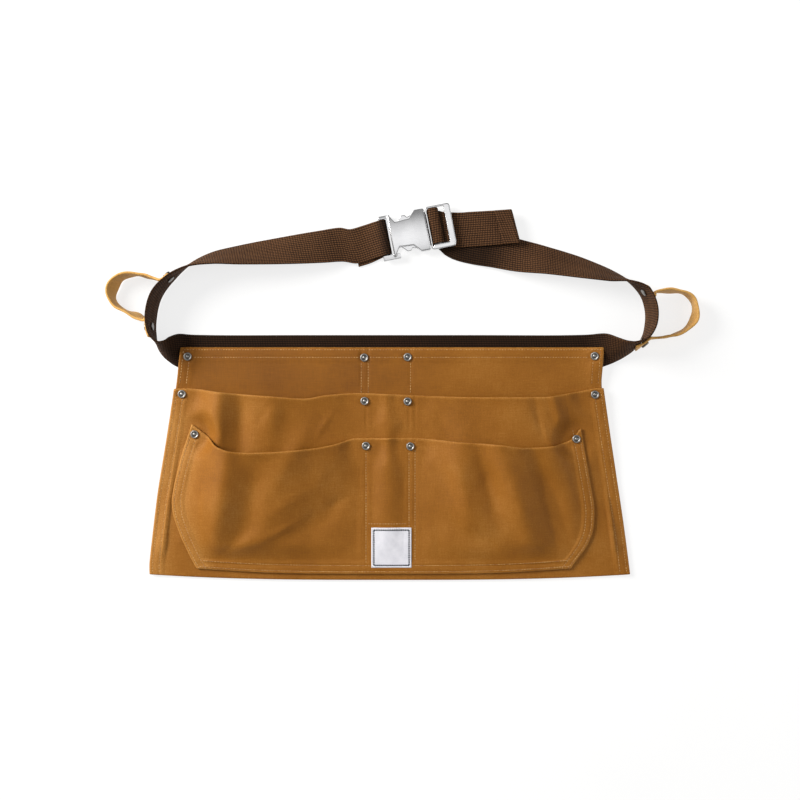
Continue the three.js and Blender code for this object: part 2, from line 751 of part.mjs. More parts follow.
// The free end passes under the clip, up and over its middle bar, down through the window and
// out under the end bar on top of itself, and its tip is folded back and sewn.
function freeEndStations() {
  const side = acrossBuckle.clone().negate();
  const cornerRadius = wrapRadius + middleBarCorner;
  const climbAlong = middleBarLeft + middleBarCorner;
  const dropAlong = middleBarRight - middleBarCorner;
  const cornerUp = middleBarTop - middleBarCorner;
  const lowCornerUp = lowLayer + cornerRadius;
  const runRows = [
    { along: 1.2, across: -0.62, swing: 24, rise: 0.6 },
    { along: 0.77, across: -0.42, swing: 18, rise: 0.3 },
    { along: 0.54, across: -0.26, swing: 12, rise: 0 },
    { along: 0.4, across: -0.13, swing: 5, rise: 0 },
  ];
  const run = runRows.map((row) => {
    const swing = THREE.MathUtils.degToRad(-row.swing);
    const turned = side.clone().applyAxisAngle(new THREE.Vector3(0, 0, 1), swing);
    const up = lowLayer + row.rise;
    return station(buckleToPart(row.along * clipWidth, row.across * clipWidth, up), turned);
  });
  const climb = wrapStations(climbAlong, lowCornerUp, cornerRadius, 250, 180, 3, -1.6);
  const over = wrapStations(climbAlong, cornerUp, cornerRadius, 170, 90, 3, 0.6);
  const drop = wrapStations(dropAlong, cornerUp, cornerRadius, 90, 0, 3, 1);
  const turnAlong = dropAlong + 2 * cornerRadius;
  const outUp = highLayer + cornerRadius;
  const out = wrapStations(turnAlong, outUp, cornerRadius, 192, 262, 3, -1.5);
  return [...run, ...climb, ...over, ...drop, ...out, ...tailStations(turnAlong)];
}

function tailStations(startAlong) {
  const drift = THREE.MathUtils.degToRad(-8);
  const side = acrossBuckle.clone().negate();
  const turned = side.clone().applyAxisAngle(new THREE.Vector3(0, 0, 1), drift);
  const bend = beltThickness / 2 + wrapGap / 2;
  const exitAcross = -5.5;
  const start = Math.max(startAlong + 5, endBarLeft);
  const place = (share, up) => {
    const run = share * tailLength;
    const settle = exitAcross * smoothstep(share, -0.2, 0.12);
    return buckleToPart(start + run, settle + run * Math.tan(drift), up);
  };
  const flat = [0, 0.16, 0.34, 0.56, 0.78, 0.94].map((share) => {
    const up = highLayer + tailRise * share * share;
    return station(place(share, up), share < 0.1 ? side : turned);
  });
  const tipUp = highLayer + tailRise;
  const tip = [-60, 0, 60].map((degrees) => {
    const angle = THREE.MathUtils.degToRad(degrees);
    const reach = (bend * Math.cos(angle)) / tailLength;
    return station(place(0.985 + reach, tipUp + bend + bend * Math.sin(angle)), turned);
  });
  const foldShare = tailFold / tailLength;
  const back = [0.35, 1].map((part) => {
    const share = 1 - foldShare * part;
    const drop = tailRise * (1 - share * share);
    return station(place(share, tipUp + 2 * bend - drop), turned);
  });
  return [...flat, ...tip, ...back];
}

const beltRowStations = [...fixedEndStations(), ...waistStations(), ...freeEndStations()];
const waistStart = fixedEndStations().length;

// Smooth curves through the stations, read by a count of rows that may be a fraction.
function strapCurve(stations) {
  const centres = new THREE.CatmullRomCurve3(stations.map((item) => item.centre));
  const sides = new THREE.CatmullRomCurve3(stations.map((item) => item.side));
  const last = stations.length - 1;
  return (row) => {
    const share = clamp(row / last, 0, 1);
    const centre = centres.getPoint(share);
    const side = sides.getPoint(share).normalize();
    const tangent = centres.getTangent(share);
    const normal = new THREE.Vector3().crossVectors(tangent, side).normalize();
    return { centre, side, tangent, normal };
  };
}

function ribbonRings(curve, lastRow, steps, width, thickness) {
  const count = Math.round(lastRow * steps);
  return [0, ...stepsBetween(0, lastRow, count)].map((row) => {
    const { centre, side, normal } = curve(row);
    const corner = (across, out) => centre.clone()
      .addScaledVector(side, across * width / 2)
      .addScaledVector(normal, out * thickness / 2);
    return [corner(-1, -1), corner(1, -1), corner(1, 1), corner(-1, 1)];
  });
}

const beltCurve = strapCurve(beltRowStations);

// Hammer loops: where each end is riveted on the belt, in rows of the waist table, and the
// strip's route between: out from the belt as a share of the reach, along from the first rivet
// to the second as a share of their distance, and down as a share of the way to the table.
const loopForms = [
  {
    name: 'hammer_loop_left',
    ends: [{ row: 6.05, free: -1 }, { row: 8.65, free: 1 }],
    route: [
      { out: 0.17, along: 0.16, sink: 0.05 },
      { out: 0.38, along: 0.06, sink: 0.25 },
      { out: 0.66, along: 0.08, sink: 0.55 },
      { out: 0.92, along: 0.22, sink: 0.9 },
      { out: 0.99, along: 0.46, sink: 1 },
      { out: 0.89, along: 0.7, sink: 0.9 },
      { out: 0.64, along: 0.83, sink: 0.65 },
      { out: 0.38, along: 0.78, sink: 0.35 },
      { out: 0.2, along: 0.78, sink: 0.1 },
    ],
  },
  {
    name: 'hammer_loop_right',
    ends: [{ row: 24.6, free: -1 }, { row: 27.95, free: 1 }],
    route: [
      { out: 0.31, along: 0.19, sink: 0.15 },
      { out: 0.6, along: 0.21, sink: 0.5 },
      { out: 0.83, along: 0.32, sink: 0.8 },
      { out: 1.01, along: 0.56, sink: 1 },
      { out: 1.01, along: 0.8, sink: 1 },
      { out: 0.87, along: 1.03, sink: 0.85 },
      { out: 0.61, along: 1.13, sink: 0.5 },
      { out: 0.38, along: 1.1, sink: 0.2 },
      { out: 0.19, along: 0.98, sink: 0.05 },
    ],
  },
];

// Outward across the belt's outer face, away from the middle of the waist.
function outerFaceAt(row) {
  const place = beltCurve(waistStart + row);
  const middle = new THREE.Vector3(0, beltY + waistDepth / 2, place.centre.z);
  const outward = place.normal.clone();
  if (outward.dot(place.centre.clone().sub(middle)) < 0) outward.negate();
  return { place, outward };
}

// Length of belt between two rows of the waist table, near one of them.
function beltRowPitch(row) {
  const step = 0.1;
  const before = beltCurve(waistStart + row - step).centre;
  const after = beltCurve(waistStart + row + step).centre;
  return before.distanceTo(after) / (2 * step);
}

function loopStations(form) {
  const standOff = (beltThickness + loopThickness) / 2 + loopGap;
  const tabs = form.ends.map((end) => {
    const { place, outward } = outerFaceAt(end.row);
    return { centre: place.centre.clone().addScaledVector(outward, standOff), outward };
  });
  const chord = new THREE.Vector3().subVectors(tabs[1].centre, tabs[0].centre);
  chord.z = 0;
  const out = new THREE.Vector3(chord.y, -chord.x, 0).normalize();
  if (out.dot(tabs[0].outward) < 0) out.negate();
  const up = new THREE.Vector3(0, 0, 1);
  const restUp = loopWidth / 2 + seatGap;
  const route = form.route.map((row) => {
    const centre = tabs[0].centre.clone()
      .addScaledVector(chord, row.along)
      .addScaledVector(out, row.out * loopReach);
    centre.z = lerp(tabs[0].centre.z, restUp, row.sink);
    return station(centre, up);
  });
  const tabReaches = [loopTab, 0.5 * loopTab, 0, -0.6 * loopLead, -loopLead];
  const tabStations = form.ends.map((end) => tabReaches.map((reach) => {
    const { place, outward } = outerFaceAt(end.row + (end.free * reach) / beltRowPitch(end.row));
    const peel = reach === -loopLead ? loopPeel : 0;
    return station(place.centre.clone().addScaledVector(outward, standOff + peel), place.side);
  }));
  return [...tabStations[0], ...route, ...tabStations[1].reverse()];
}

// Buckle: the socket

// The cut in one flank of the socket, where the clip's button shows; side is 1 or -1.
function notchSolid(side, low, high) {
  const half = socketWidth / 2;
  const at = (share) => lerp(socketLeft, socketRight, share);
  const points = [
    [at(0.02), half + 1],
    [at(0.18), half - notchDepth],
    [at(0.56), half - notchDepth + 1],
    [at(0.77), half + 1],
  ];
  const shape = new THREE.Shape(points.map(([along, across]) => new THREE.Vector2(along, side * across)));
  return extrudedSolid(shape, low - 1, high + 1);
}

function buildSocket() {
  const low = buckleLift;
  const high = buckleLift + socketHeight;
  const half = socketWidth / 2;
  const outline = roundedRectangle(
    new THREE.Vector2(socketLeft, -half),
    new THREE.Vector2(socketRight, half),
    2,
  );
  let solid = extrudedSolid(outline, low, high, { bevel: 0.9 });
  for (const side of [-1, 1]) solid = solid.subtract(notchSolid(side, low, high));
  const innerHalf = half - socketSideWall;
  const tunnel = blockSolid(
    new THREE.Vector3(socketLeft - 1, -innerHalf, low + socketWall),
    new THREE.Vector3(socketRight + 1, innerHalf, high - socketWall),
  );
  solid = solid.subtract(tunnel);
  for (const side of [-1, 1]) {
    const edges = [side * half, side * (half - wingWidth)];
    const wing = blockSolid(
      new THREE.Vector3(wingLeft, Math.min(...edges), low),
      new THREE.Vector3(socketLeft + 3, Math.max(...edges), wingHeight),
    );
    solid = solid.add(wing);
  }
  const bar = new THREE.Shape();
  bar.absarc(fixedBarAlong, fixedBarUp, fixedBarRadius, 0, 2 * Math.PI);
  return solid.add(crossBarSolid(bar, half - wingWidth / 2));
}

// Buckle: the clip with its frame, bars and spring prongs

function buildClip() {
  const half = clipWidth / 2;
  const outer = roundedRectangle(
    new THREE.Vector2(baseRight - clipGap / 2, -half),
    new THREE.Vector2(endBarRight, half),
    3,
  );
  let solid = extrudedSolid(outer, frameBottom, frameTop, { bevel: 0.8 });
  const innerHalf = half - railWidth;
  const window = blockSolid(
    new THREE.Vector3(baseRight, -innerHalf, frameBottom - 1),
    new THREE.Vector3(endBarLeft, innerHalf, frameTop + 1),
  );
  solid = solid.subtract(window);
  const bar = roundedRectangle(
    new THREE.Vector2(middleBarLeft, frameBottom),
    new THREE.Vector2(middleBarRight, middleBarTop),
    middleBarCorner,
  );
  solid = solid.add(crossBarSolid(bar, innerHalf + railWidth / 2));
  const reachHalf = socketWidth / 2 - socketSideWall - prongClearance;
  const prongMiddle = buckleLift + socketHeight / 2;
  const prongLow = prongMiddle - prongHeight / 2;
  const prongHigh = prongMiddle + prongHeight / 2;
  const base = blockSolid(
    new THREE.Vector3(baseRight - baseBarWidth, -reachHalf, prongLow),
    new THREE.Vector3(baseRight, reachHalf, prongHigh),
  );
  solid = solid.add(base);
  const tongue = roundedRectangle(
    new THREE.Vector2(lerp(socketLeft, socketRight, 0.42), -5),
    new THREE.Vector2(baseRight - 1, 5),
    2,
  );
  solid = solid.add(extrudedSolid(tongue, prongLow, prongHigh));
  for (const side of [-1, 1]) solid = solid.add(prongSolid(side, reachHalf, prongLow, prongHigh));
  return solid;
}

// A spring prong: a slim arm whose tip swells into the button that fills the socket's notch.
function prongSolid(side, reachHalf, low, high) {
  const tip = lerp(socketLeft, socketRight, 0.2);
  const buttonLeft = tip + 3;
  const buttonRight = lerp(socketLeft, socketRight, 0.52);
  const buttonHalf = socketWidth / 2 - notchDepth + 6.2;
  const inner = reachHalf - prongWidth;
  const points = [
    [baseRight - 1, reachHalf],
    [buttonRight + 3, reachHalf],
    [buttonRight, reachHalf - 1],
    [buttonRight - 2, buttonHalf],
    [buttonLeft + 4, buttonHalf],
    [buttonLeft, reachHalf - 2.4],
    [tip, inner - 1],
    [buttonRight, inner - 1.6],
    [baseRight - 1, inner],
  ];
  const shape = new THREE.Shape(points.map(([along, across]) => new THREE.Vector2(along, side * across)));
  return extrudedSolid(shape, low, high);
}

// Rivets

function rivetGeometry(backTopUp, capBottomUp) {
  const profile = [
    [0, backTopUp - rivetBackHeight],
    [rivetBackRadius, backTopUp - rivetBackHeight],
    [rivetBackRadius, backTopUp],
    [rivetShankRadius, backTopUp],
    [rivetShankRadius, capBottomUp],
    [rivetRadius, capBottomUp],
    [rivetRadius, capBottomUp + 0.5 * rivetCapHeight],
    [0.76 * rivetRadius, capBottomUp + 0.8 * rivetCapHeight],
    [0.54 * rivetRadius, capBottomUp + 0.5 * rivetCapHeight],
    [0.32 * rivetRadius, capBottomUp + 0.95 * rivetCapHeight],
    [0, capBottomUp + rivetCapHeight],
  ];
  const points = profile.map(([radius, up]) => new THREE.Vector2(radius, up));
  return new THREE.LatheGeometry(points, rivetSides).rotateX(Math.PI / 2);
}

function holeSolid(length) {
  const radius = rivetShankRadius + rivetHoleClearance;
  const geometry = new THREE.CylinderGeometry(radius, radius, length, rivetSides);
  return geometry.rotateX(Math.PI / 2);
}

function drill(solid, places) {
  let drilled = solid;
  for (const place of places) {
    const hole = holeSolid(2 * rivetHoleReach).translate(place.x, place.y, 0);
    drilled = drilled.subtract(toSolid(hole));
  }
  return drilled;
}

// Highest or lowest level under a rivet's cap, so that the cap clears a sheet that slopes.
function levelRound(level, place, radius, choose) {
  const levels = stepsBetween(0, 2 * Math.PI, 8).map((angle) => (
    level(place.x + radius * Math.cos(angle), place.y + radius * Math.sin(angle))
  ));
  return choose(level(place.x, place.y), ...levels);
}

// Assembly

const part = new THREE.Group();

function addPiece(name, geometry, material) {
  const mesh = new THREE.Mesh(geometry, material);
  mesh.name = name;
  part.add(mesh);
  return mesh;
}

function addClothPanels() {
  const inRows = (...rows) => rivetPlaces.filter((place) => rows.includes(place.row));
  const back = sheetGeometry(backPanelGrid(), backUnderside, backTop);
  const backHoles = inRows('top', 'upper', 'lower');
  addPiece('back_panel', toGeometry(drill(toSolid(back), backHoles)), canvasMaterial);
  const upper = sheetGeometry(upperPanelGrid(), upperUnderside, upperTop);
  const upperHoles = inRows('upper', 'lower');
  const upperSolid = drill(toSolid(upper), upperHoles);
  addPiece('upper_pocket_panel', toGeometry(upperSolid), canvasMaterial);
  const lower = sheetGeometry(lowerPanelGrid(), lowerUnderside, lowerTop);
  const lowerSolid = drill(toSolid(lower), inRows('lower'));
  addPiece('lower_pocket_panel', toGeometry(lowerSolid), canvasMaterial);
  addPiece('label_patch', sheetGeometry(labelGrid(), labelUnderside, labelTop), labelMaterial);
}

function addClothRivets() {
  const topLevel = { top: backTop, upper: upperTop, lower: lowerTop };
  for (const place of rivetPlaces) {
    const capUp = levelRound(topLevel[place.row], place, rivetRadius, Math.max) + seatGap;
    const under = place.row === 'top'
      ? beltClearance
      : levelRound(backUnderside, place, rivetBackRadius, Math.min);
    const mesh = addPiece(place.name, rivetGeometry(under - seatGap, capUp), rivetMaterial);
    mesh.position.set(place.x, place.y, 0);
  }
}

// Each loop rivet goes through belt and tab, with its dished cap on the loop.
function loopRivetPlaces() {
  return loopForms.flatMap((form) => form.ends.map((end, index) => {
    const { place, outward } = outerFaceAt(end.row);
    const turn = new THREE.Quaternion().setFromUnitVectors(new THREE.Vector3(0, 0, 1), outward);
    const name = `rivet_${form.name}_${index === 0 ? 'back' : 'front'}`;
    return { name, centre: place.centre, turn };
  }));
}

function addBeltAndLoops() {
  const rings = ribbonRings(beltCurve, beltRowStations.length - 1, beltStepsPerRow, beltWidth, beltThickness);
  let belt = toSolid(loftRings(rings));
  const topRivets = rivetPlaces.filter((place) => place.row === 'top');
  belt = drill(belt, topRivets);
  const rivets = loopRivetPlaces();
  const holes = rivets.map((rivet) => toSolid(
    holeSolid(6 * loopThickness).applyQuaternion(rivet.turn)
      .translate(rivet.centre.x, rivet.centre.y, rivet.centre.z),
  ));
  for (const hole of holes) belt = belt.subtract(hole);
  addPiece('waist_belt', toGeometry(belt), webbingMaterial);
  for (const form of loopForms) {
    const stations = loopStations(form);
    const curve = strapCurve(stations);
    const loopRings = ribbonRings(curve, stations.length - 1, loopStepsPerRow, loopWidth, loopThickness);
    let loop = toSolid(loftRings(loopRings));
    for (const hole of holes) loop = loop.subtract(hole);
    addPiece(form.name, toGeometry(loop), canvasMaterial);
  }
  const beltHalf = beltThickness / 2;
  const backUp = -beltHalf - loopGap;
  const capUp = beltHalf + loopGap + loopThickness + loopGap;
  for (const rivet of rivets) {
    const mesh = addPiece(rivet.name, rivetGeometry(backUp, capUp), rivetMaterial);
    mesh.position.copy(rivet.centre);
    mesh.quaternion.copy(rivet.turn);
  }
}

function addBuckle() {
  const buckle = new THREE.Group();
  buckle.position.set(buckleX, buckleY, 0);
  buckle.rotation.z = buckleAngle;
  part.add(buckle);
  const pieces = [['buckle_socket', buildSocket()], ['buckle_clip', buildClip()]];
  for (const [name, solid] of pieces) {
    const mesh = new THREE.Mesh(toGeometry(solid), buckleMaterial);
    mesh.name = name;
    buckle.add(mesh);
  }
}

addClothPanels();
addClothRivets();
addBeltAndLoops();
addBuckle();

export default part;
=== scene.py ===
# %% [markdown]
# # A carpenter's canvas nail apron
#
# The real apron is duck canvas sewn in three layers, riveted where a hand pulls at it, and hung
# on a webbing belt with a metal side release buckle. It lies on its back under the camera, with
# the belt fastened and standing on its edge at both turns. This lesson dresses the packed
# frame piece by piece: cloth first, then thread, strap, metal, light and camera. Lengths are in
# millimetres in the tables and are turned into metres when a mesh is made.

# %% Load the frame
import math
from functools import partial

import bmesh
import bpy
import numpy as np
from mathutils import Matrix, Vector


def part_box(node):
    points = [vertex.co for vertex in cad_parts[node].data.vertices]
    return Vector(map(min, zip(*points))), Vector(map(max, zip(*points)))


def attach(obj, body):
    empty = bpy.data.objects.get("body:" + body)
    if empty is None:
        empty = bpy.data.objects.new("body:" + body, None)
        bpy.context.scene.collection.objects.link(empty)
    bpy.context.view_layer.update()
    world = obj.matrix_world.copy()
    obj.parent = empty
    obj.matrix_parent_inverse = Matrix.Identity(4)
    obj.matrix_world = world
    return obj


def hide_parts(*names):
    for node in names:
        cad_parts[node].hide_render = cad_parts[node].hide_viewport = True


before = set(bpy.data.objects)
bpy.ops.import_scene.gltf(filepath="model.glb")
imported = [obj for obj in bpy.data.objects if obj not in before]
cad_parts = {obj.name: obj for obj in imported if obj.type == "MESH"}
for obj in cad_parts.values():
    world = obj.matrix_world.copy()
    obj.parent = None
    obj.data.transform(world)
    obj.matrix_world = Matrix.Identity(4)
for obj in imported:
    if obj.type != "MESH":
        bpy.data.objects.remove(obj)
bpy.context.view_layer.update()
MM = 0.001
print("nodes in the frame:", len(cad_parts))

# %% [markdown]
# ## The camera
#
# The photograph looks straight down at the apron from a little over a metre. A long enough lens
# keeps the corners true, and the camera stands over the middle of the picture, not of the apron.

# %% Camera over the middle of the picture
CAMERA_PLACE = (0.0098, 0.1306, 1.35)
CAMERA_LENS = 55.9

camera = bpy.data.objects.new("camera", bpy.data.cameras.new("camera"))
camera.data.lens = CAMERA_LENS
camera.data.sensor_width = 36
camera.data.clip_end = 20
camera.location = CAMERA_PLACE
bpy.context.scene.collection.objects.link(camera)
bpy.context.scene.camera = camera
print("camera height in metres:", CAMERA_PLACE[2])

# %% [markdown]
# ## Small tables that become smooth lines
#
# A tailor marks a curve with a few chalk points and joins them by eye. `read_table` does that
# with a cubic that never swings past the marks, so a hem drawn from five points has no waves
# that nobody asked for. `ease` is the soft step that every fade in this file uses.


# %% Smooth lines from short tables
def read_table(rows, share):
    at = np.array([row[0] for row in rows], float)
    value = np.array([row[1] for row in rows], float)
    pitch = np.diff(value) / np.diff(at)
    before = np.concatenate([pitch[:1], pitch])
    after = np.concatenate([pitch, pitch[-1:]])
    product = before * after
    total = np.where(product > 0, before + after, 1.0)
    slope = np.where(product > 0, 2 * product / total, 0.0)
    share = np.clip(share, at[0], at[-1])
    index = np.clip(np.searchsorted(at, share, side="right") - 1, 0, len(at) - 2)
    span = at[index + 1] - at[index]
    part = (share - at[index]) / span
    rise = value[index + 1] - value[index]
    leave = part * (1 - part) ** 2 * span * slope[index]
    arrive = part**2 * (1 - part) * span * slope[index + 1]
    return value[index] + rise * part**2 * (3 - 2 * part) + leave - arrive


def ease(value, low, high):
    part = np.clip((value - low) / (high - low), 0, 1)
    return part * part * (3 - 2 * part)


# %% [markdown]
# ## The cut of the apron
#
# The body is a trapezoid, wider at the bottom hem than at the belt. These are the sizes the
# frame was built from. The two centre seams make a narrow slot between the large pockets.

# %% Cut sizes
APRON_TOP_WIDTH = 457
APRON_BOTTOM_WIDTH = 521
APRON_HEIGHT = 251
HEM_Y = -64
TOP_Y = HEM_Y + APRON_HEIGHT
SIDE_BOW = 1.5
HEM_SAG = 6
BACK_CANVAS = 1.4
POCKET_CANVAS = 1.2
LAYER_GAP = 0.35
POCKET_GAP = 1.1
SEAT_GAP = 0.3
SLOT_MIDDLE = -3
SLOT_WIDTH = 48
SEAM_LEFT = SLOT_MIDDLE - SLOT_WIDTH / 2
SEAM_RIGHT = SLOT_MIDDLE + SLOT_WIDTH / 2
SEAM_FLAT = 6.5
EDGE_FLAT = 13
UPPER_HEIGHT = 207
UPPER_OVERHANG = 1.6
LOWER_HEIGHT = 168
LOWER_HEM_MARGIN = 6.5


def half_width(y):
    share = np.clip((y - HEM_Y) / APRON_HEIGHT, 0, 1)
    width = APRON_BOTTOM_WIDTH + (APRON_TOP_WIDTH - APRON_BOTTOM_WIDTH) * share
    return width / 2 + SIDE_BOW * np.sin(math.pi * share)


def hem_line(across):
    return HEM_Y + HEM_SAG * np.abs(across) ** 3


print("apron at its hem:", round(float(2 * half_width(HEM_Y))), "mm")

# %% [markdown]
# ## The shaped sides of the lower pocket
#
# The lower pocket is cut with slanted lower corners, so what it holds slides towards the middle. Each
# side is a short table: height up the pocket, and how far the edge lies inside the apron's side.

# %% Sides of the lower pocket
LOWER_LEFT_INSET = [
    (0, 0.222), (0.2, 0.145), (0.33, 0.1), (0.43, 0.072), (0.52, 0.06), (0.78, 0.072), (1, 0.098),
]
LOWER_RIGHT_INSET = [
    (0, 0.28), (0.09, 0.233), (0.25, 0.151), (0.34, 0.125), (0.48, 0.111), (0.7, 0.116), (1, 0.123),
]


def lower_left(y):
    return -half_width(y) * (1 - read_table(LOWER_LEFT_INSET, (y - HEM_Y) / LOWER_HEIGHT))


def lower_right(y):
    return half_width(y) * (1 - read_table(LOWER_RIGHT_INSET, (y - HEM_Y) / LOWER_HEIGHT))


def upper_left(y):
    return -half_width(y) - UPPER_OVERHANG


def upper_right(y):
    return half_width(y) + UPPER_OVERHANG


# %% [markdown]
# ## Where the rivets pull the cloth down
#
# A rivet clamps all the layers together, so the canvas lies flat round it and swells only a
# thumb's width away. `near_rivets` gives 0 at a rivet and 1 in free cloth.

# %% Rivet places
RIVET_RADIUS = 4.5
CLAMPED = 8
FREE = 26
RIVETS = [
    ("rivet_top_left", -half_width(TOP_Y - 9.5) + 8.2, TOP_Y - 9.5, "top"),
    ("rivet_top_seam_left", SEAM_LEFT - 2, TOP_Y - 10.5, "top"),
    ("rivet_top_seam_right", SEAM_RIGHT - 3, TOP_Y - 10, "top"),
    ("rivet_top_right", half_width(TOP_Y - 9) - 9, TOP_Y - 9, "top"),
    ("rivet_upper_left", -half_width(HEM_Y + 201) + 7.5, HEM_Y + 201, "upper"),
    ("rivet_upper_seam_left", SEAM_LEFT - 1.5, HEM_Y + 193.5, "upper"),
    ("rivet_upper_seam_right", SEAM_RIGHT - 3, HEM_Y + 193, "upper"),
    ("rivet_upper_right", half_width(HEM_Y + 200.5) - 8.5, HEM_Y + 200.5, "upper"),
    ("rivet_lower_left", lower_left(HEM_Y + 157.5) + 6.5, HEM_Y + 157.5, "lower"),
    ("rivet_lower_seam_left", SEAM_LEFT, HEM_Y + 145, "lower"),
    ("rivet_lower_seam_right", SEAM_RIGHT, HEM_Y + 144.5, "lower"),
    ("rivet_lower_right", lower_right(HEM_Y + 152.5) - 7, HEM_Y + 152.5, "lower"),
]


def near_rivets(x, y, rows):
    share = 1.0
    for _, rivet_x, rivet_y, row in RIVETS:
        if row in rows:
            away = np.hypot(x - rivet_x, y - rivet_y)
            share = share * ease(away, RIVET_RADIUS + CLAMPED, RIVET_RADIUS + FREE)
    return share


# %% [markdown]
# ## How the canvas lies
#
# The back panel slopes from the belt down to the table. Above it, each pocket bulges between
# its seams and keeps long soft folds where the cloth was pushed in. All of it is worked out as
# heights over the table, so each layer rests on the one below and nothing cuts through. At its two
# top corners the panel rides over the belt where the belt rises on its edge, so it is lifted there.

# %% Slope of the back panel
BELT_UNDER_TOP = 5
BELT_Y = TOP_Y - BELT_UNDER_TOP
BELT_THICKNESS = 2
BELT_CLEARANCE = 1.4
OVER_BELT = BELT_CLEARANCE + BELT_THICKNESS + 1
OVER_RIVET_BACK = 1.4
SLOPE = [
    (0, OVER_BELT), (0.14, OVER_BELT), (0.34, OVER_RIVET_BACK + 0.3 * (OVER_BELT - OVER_RIVET_BACK)),
    (0.46, OVER_RIVET_BACK), (0.6, 0), (1, 0),
]
# the lift sets in at the first place and is full at the second
CORNER_LIFT = 6
CORNER_ACROSS = (204, 232)
CORNER_UP = (148, 184)


def corner_lift(x, y):
    return CORNER_LIFT * ease(np.abs(x), *CORNER_ACROSS) * ease(y, *CORNER_UP)


def back_under(x, y):
    return read_table(SLOPE, (TOP_Y - y) / APRON_HEIGHT) + corner_lift(x, y)


def on_top_of(level, thickness):
    probe = 1.0

    def top(x, y):
        slope_x = (level(x + probe, y) - level(x - probe, y)) / (2 * probe)
        slope_y = (level(x, y + probe) - level(x, y - probe)) / (2 * probe)
        return level(x, y) + thickness * np.sqrt(1 + slope_x**2 + slope_y**2)

    return top


# %% [markdown]
# ## Long folds
#
# A fold is a ridge or a valley with a place, a turn, a half width and a length. Shares of the
# apron's height keep them in proportion. The large ones are in the frame too; a second, finer
# table adds the short creases that only the cloth itself needs.

# %% Tables of folds
FOLD_HEIGHT = 4
# across, up, half width, run, turn in degrees, lift
UPPER_FOLDS = [
    (-0.68, 1.03, 0.045, 0.15, 6, -1.5), (-0.79, 1.08, 0.04, 0.16, 4, 1.7),
    (-0.54, 1.05, 0.045, 0.12, 2, 0.7), (-0.42, 0.83, 0.05, 0.12, -24, 0.6),
    (0.77, 1.08, 0.022, 0.12, 12, 0.7), (0.68, 1.05, 0.025, 0.1, 12, -0.6),
    (0.36, 0.82, 0.05, 0.14, 24, 0.7), (0.72, 0.84, 0.045, 0.12, 12, 0.6),
    (-0.95, 0.45, 0.026, 0.42, -7, 0.75), (0.945, 0.42, 0.022, 0.3, 7, 0.6),
]
LOWER_FOLDS = [
    (-0.61, 0.23, 0.04, 0.13, -61, 0.8), (-0.32, 0.39, 0.055, 0.18, -57, -0.6),
    (-0.73, 0.55, 0.055, 0.3, -4, 1.6), (-0.6, 0.52, 0.06, 0.25, -12, -1.3),
    (0.16, 0.2, 0.03, 0.1, 5, 0.5), (0.3, 0.64, 0.045, 0.18, 12, 1.4),
    (0.415, 0.66, 0.045, 0.18, 14, -2.0), (0.54, 0.54, 0.05, 0.28, 17, 1.6),
    (0.685, 0.55, 0.045, 0.26, 15, -1.9), (0.81, 0.5, 0.04, 0.26, 10, 1.2),
    (0.36, 0.27, 0.05, 0.14, 56, -0.9),
]
UPPER_CREASES = [
    (-0.57, 1.08, 0.016, 0.05, -30, -0.14), (-0.76, 0.98, 0.016, 0.08, 6, 0.14),
    (0.7, 0.98, 0.008, 0.06, 12, 0.3), (0.83, 1.02, 0.014, 0.07, 4, -0.35),
    (-0.935, 0.55, 0.008, 0.16, -8, -0.28), (0.955, 0.62, 0.009, 0.16, 8, -0.3),
    (-0.94, 0.12, 0.012, 0.1, -30, 0.3), (0.96, 0.2, 0.01, 0.14, 9, 0.25),
    (0.24, 0.98, 0.014, 0.07, 30, -0.25), (-0.3, 1.0, 0.014, 0.06, -30, 0.25),
]
LOWER_CREASES = [
    (-0.47, 0.32, 0.014, 0.09, -60, 0.3), (-0.44, 0.5, 0.03, 0.12, -52, 0.3),
    (-0.79, 0.45, 0.012, 0.12, 2, 0.3), (-0.2, 0.52, 0.018, 0.08, -66, -0.25),
    (0.42, 0.25, 0.012, 0.09, 44, -0.25), (0.57, 0.3, 0.014, 0.1, 40, 0.25),
    (0.79, 0.6, 0.01, 0.1, 12, 0.3), (0.2, 0.62, 0.014, 0.08, 34, 0.25),
    (-0.7, 0.18, 0.012, 0.06, -50, -0.25), (-0.14, 0.2, 0.014, 0.1, -8, 0.2),
]


def fold_height(rows, x, y):
    lift = 0.0
    for across, up, half, run, degrees, height in rows:
        turn = math.radians(degrees)
        dx = x - across * half_width(y)
        dy = y - (HEM_Y + up * LOWER_HEIGHT)
        beside = (dx * math.cos(turn) + dy * math.sin(turn)) / (half * APRON_HEIGHT)
        along = (dy * math.cos(turn) - dx * math.sin(turn)) / (run * APRON_HEIGHT)
        lift = lift + height * FOLD_HEIGHT * np.exp(-beside**2 - along**2)
    return lift


# %% [markdown]
# ## Slow ripples
#
# Washed canvas is never quite even. A few long sine waves in random directions, always the same
# ones because the dice are seeded, give it a slow unevenness of a fraction of a millimetre.


# %% Seeded ripples
WAVES = 8


def ripple(x, y, seed, pitch):
    dice = np.random.default_rng(seed)
    total = 0.0
    for _ in range(WAVES):
        angle = dice.uniform(0, math.pi)
        length = pitch * dice.uniform(0.6, 1.8)
        phase = dice.uniform(0, 2 * math.pi)
        along = x * math.cos(angle) + y * math.sin(angle)
        total = total + np.sin(2 * math.pi * along / length + phase)
    return total / WAVES


# %% [markdown]
# ## Pocket panels
#
# Each panel has three bays between its sides and the two centre seams. A row of the form table
# says where the crest of a bay lies and how deep the bay is at the mouth, half way and above the
# hem. The panel is a small dictionary so that both pockets share one function.

